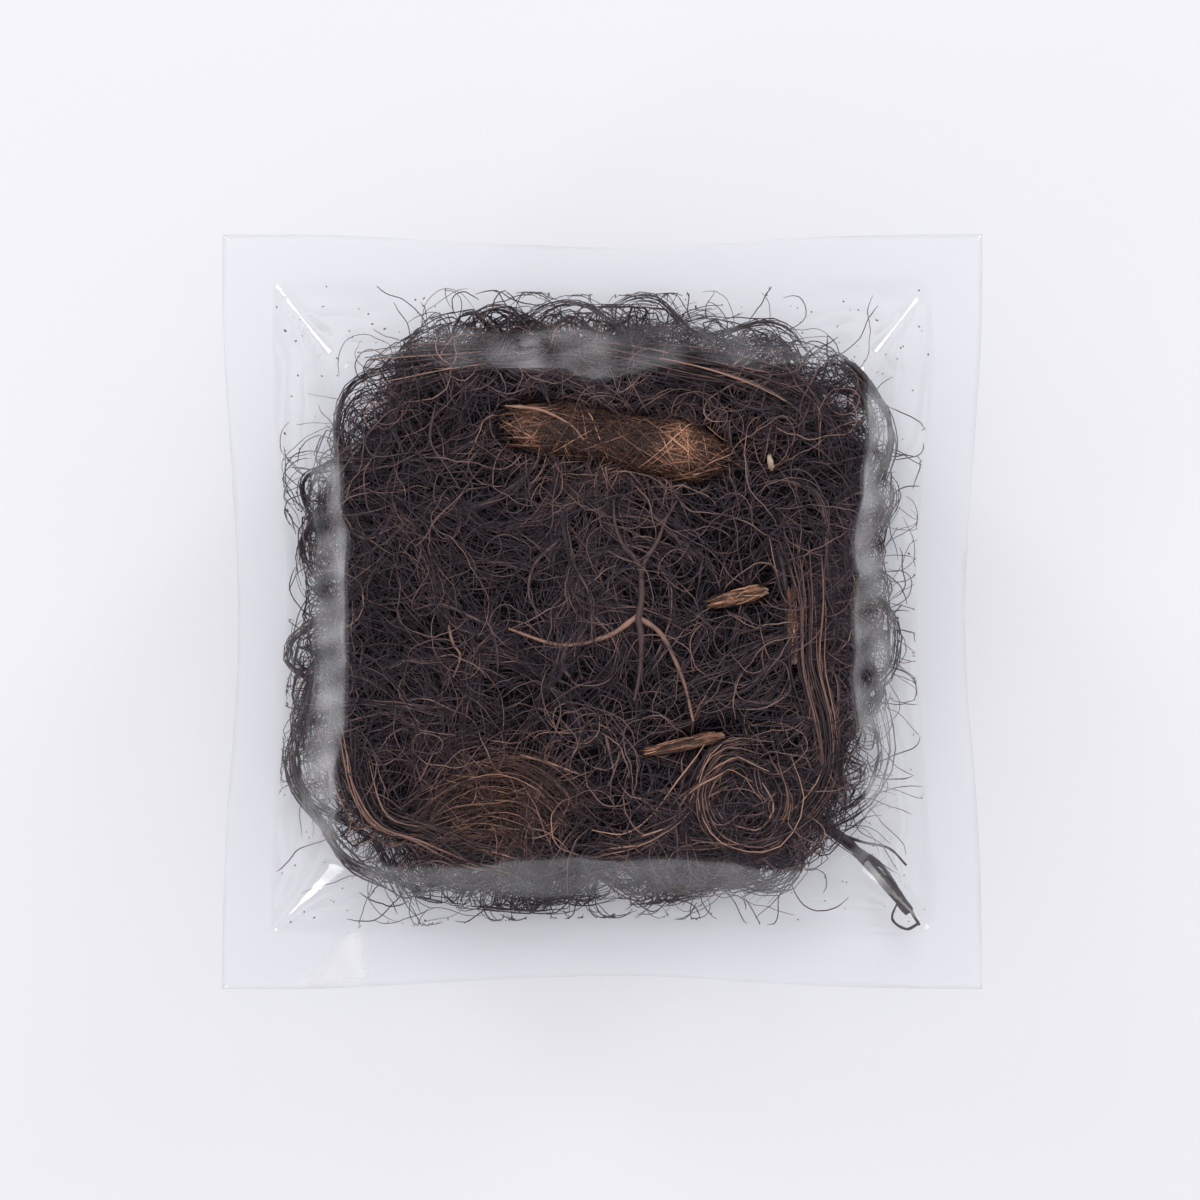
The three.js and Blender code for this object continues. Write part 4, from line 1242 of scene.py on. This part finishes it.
def front_film_inside(x, y):
    depth = film_depth(x, y)
    spare = (SOLID_FILM - THIN_FILM) * smoothstep(0, WALL_START, depth)
    buckle = 0.12 * np.sin(0.52 * x + 0.31 * y) * np.sin(0.44 * y - 0.29 * x + 0.7)
    buckle = buckle + 0.08 * np.sin(0.23 * x - 0.61 * y + 1.7) * np.sin(0.35 * x + 0.19 * y + 0.2)
    ridge_across = 1 - np.abs(np.sin(0.15 * x + 0.21 * y + 0.5))
    ridge_along = 1 - np.abs(np.sin(0.19 * y - 0.13 * x + 1.9))
    wall = smoothstep(2, 6, depth) * (1 - smoothstep(13, 17, depth))
    buckle = buckle + wall * (1.5 * ridge_across * ridge_along - 0.3)
    inside = smoothstep(1.0, 5.0, depth)
    hip = hip_share(x, y) * (1 - smoothstep(12.5, 15.5, depth))
    height = front_inside(x, y) + spare
    shifted = depth + SHOULDER_WANDER * unevenness(x, y) * smoothstep(0, WALL_START, depth)
    straight = np.clip((shifted - STRAIGHT_START) / (STRAIGHT_END - STRAIGHT_START), 0, 1)
    bend = smoothstep(WALL_START, WALL_END, shifted)
    height = height + FRONT_WALL_RISE * np.maximum(straight - bend, 0)
    taut = SEAL_LEVEL + WELD_GAP / 2 + (SKIRT_RISE + FRONT_WALL_RISE) * depth / WALL_END
    height = height + hip * np.maximum(taut - height, 0) * (depth > 0)
    creased = (crease(FOLDS, x, y) + buckle) * inside * (1 - hip)
    return height + weld_ripple(x, y, depth) + creased


front_film = film_shell("front_film", front_film_inside, FRONT_CELLS, 1, 1.0)
front_film.data.materials.append(film_finish)
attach(front_film, "root")
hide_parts("pouch_front_film")

# Embossing of the welds: fine ribs, all slanting one way, that the heated jaws pressed into the
# four weld bands of the front film, and a thin bead along the inner edge of each band.
RIB_PITCH = 1.1
RIB_RADIUS = 0.15
EDGE_RADIUS = 0.13
RIB_POINTS = 7
RIB_INSET = 0.8
RIB_LEAST = 2.5
RIB_SIDES = 4


def on_film(plan):
    """Points in plan, set on the outside of the front film."""
    return with_height(plan, front_film_inside(plan[..., 0], plan[..., 1]) + THIN_FILM)


def rib_routes():
    routes = []
    line = np.linspace(-110, 110, 1400)
    for start in np.arange(-170, 170, RIB_PITCH):
        x, y = line, line + start
        inside_edge = np.abs(x) < half_width_at(y) - RIB_INSET
        inside_edge = inside_edge & (np.abs(y) < half_height_at(x) - RIB_INSET)
        on_weld = inside_edge & (film_depth(x, y) <= 0.0) & (np.abs(y) < 74)
        jumps = np.flatnonzero(np.diff(on_weld.astype(int)))
        for first, last in zip(jumps[:-1], jumps[1:]):
            if on_weld[first + 1] and line[last] - line[first] > RIB_LEAST:
                share = np.linspace(line[first + 1], line[last], RIB_POINTS)
                routes.append(np.stack([share, share + start], -1))
    return on_film(np.array(routes))


def weld_edges():
    along = np.linspace(-1, 1, 61)
    y = along * (POUCH_HEIGHT / 2 - SEAL_TOP - 1.5)
    x = along * (POUCH_WIDTH / 2 - SEAL_SIDE - 1.0)
    inner = half_width_at(y) - SEAL_SIDE
    upper, lower = half_height_at(x) - SEAL_TOP, SEAL_BOTTOM - half_height_at(x)
    plans = [(-inner, y - 1), (inner, y - 1), (x, upper), (x, lower)]
    return on_film(np.array([np.stack(line, -1) for line in plans]))


rib_batches = [(rib_routes(), RIB_RADIUS, 0.0, 0.0), (weld_edges(), EDGE_RADIUS, 0.0, 0.0)]
ribs = strand_piece("weld_ribs", rib_batches, RIB_SIDES, film_finish)
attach(ribs, "root")

# Studio: a plain pale floor, soft light from the top and both sides, and a camera that looks
# straight down on the pouch. Small bright lamps towards the corners catch the folds of the film.
FLOOR_HALF = 4
FLOOR_LEVEL = -0.0002
floor_mesh = bpy.data.meshes.new("floor")
floor_corners = [(-1, -1), (1, -1), (1, 1), (-1, 1)]
floor_points = [(FLOOR_HALF * x, FLOOR_HALF * y, FLOOR_LEVEL) for x, y in floor_corners]
floor_mesh.from_pydata(floor_points, [], [(0, 1, 2, 3)])
floor = add_object("floor", floor_mesh)
floor_finish, floor_tree = new_finish("pale_floor")
floor_skin = {"Base Color": (0.84, 0.84, 0.88, 1), "Roughness": 0.9, "Specular IOR Level": 0.1}
feed(floor_tree.nodes["Principled BSDF"], floor_skin)
floor_mesh.materials.append(floor_finish)

SOFTBOXES = [
    ("overhead_light", (0.0, 0.001, 3.0), 2.0, 2.0, 24.0),
    ("top_light", (0.0, 1.3, 2.0), 0.9, 0.7, 9.0),
    ("left_light", (-1.9, 0.3, 1.3), 1.2, 1.2, 2.5),
    ("right_light", (1.9, 0.3, 1.3), 1.2, 1.2, 2.5),
    ("upper_left_light", (-1.6, 1.6, 0.62), 0.6, 0.6, 12.0),
    ("upper_right_light", (1.6, 1.6, 0.62), 0.6, 0.6, 12.0),
    ("lower_left_light", (-1.6, -1.6, 0.62), 0.5, 0.5, 6.0),
    ("lower_right_light", (1.6, -1.6, 0.62), 0.5, 0.5, 2.0),
]
for name, spot, width, height, power in SOFTBOXES:
    lamp = bpy.data.lights.new(name, "AREA")
    lamp.shape = "RECTANGLE"
    lamp.size = width
    lamp.size_y = height
    lamp.energy = power
    softbox = add_object(name, lamp)
    softbox.location = spot
    tilt = math.atan2(math.hypot(spot[0], spot[1]), spot[2])
    softbox.rotation_euler = (tilt, 0, math.atan2(spot[1], spot[0]) + math.pi / 2)

world = bpy.data.worlds.new("studio")
bpy.context.scene.world = world
world.use_nodes = True
sky_light = {"Color": (0.98, 0.98, 1.0, 1), "Strength": 0.52}
feed(world.node_tree.nodes["Background"], sky_light)

lens = bpy.data.cameras.new("camera")
lens.lens = 100.0
lens.sensor_width = 36.0
lens.clip_start = 0.01
camera = add_object("camera", lens)
camera.location = (-0.0004, 0.0023, 0.669)
bpy.context.scene.camera = camera
bpy.context.scene.view_settings.view_transform = "Standard"
bpy.context.scene.cycles.transparent_max_bounces = 24
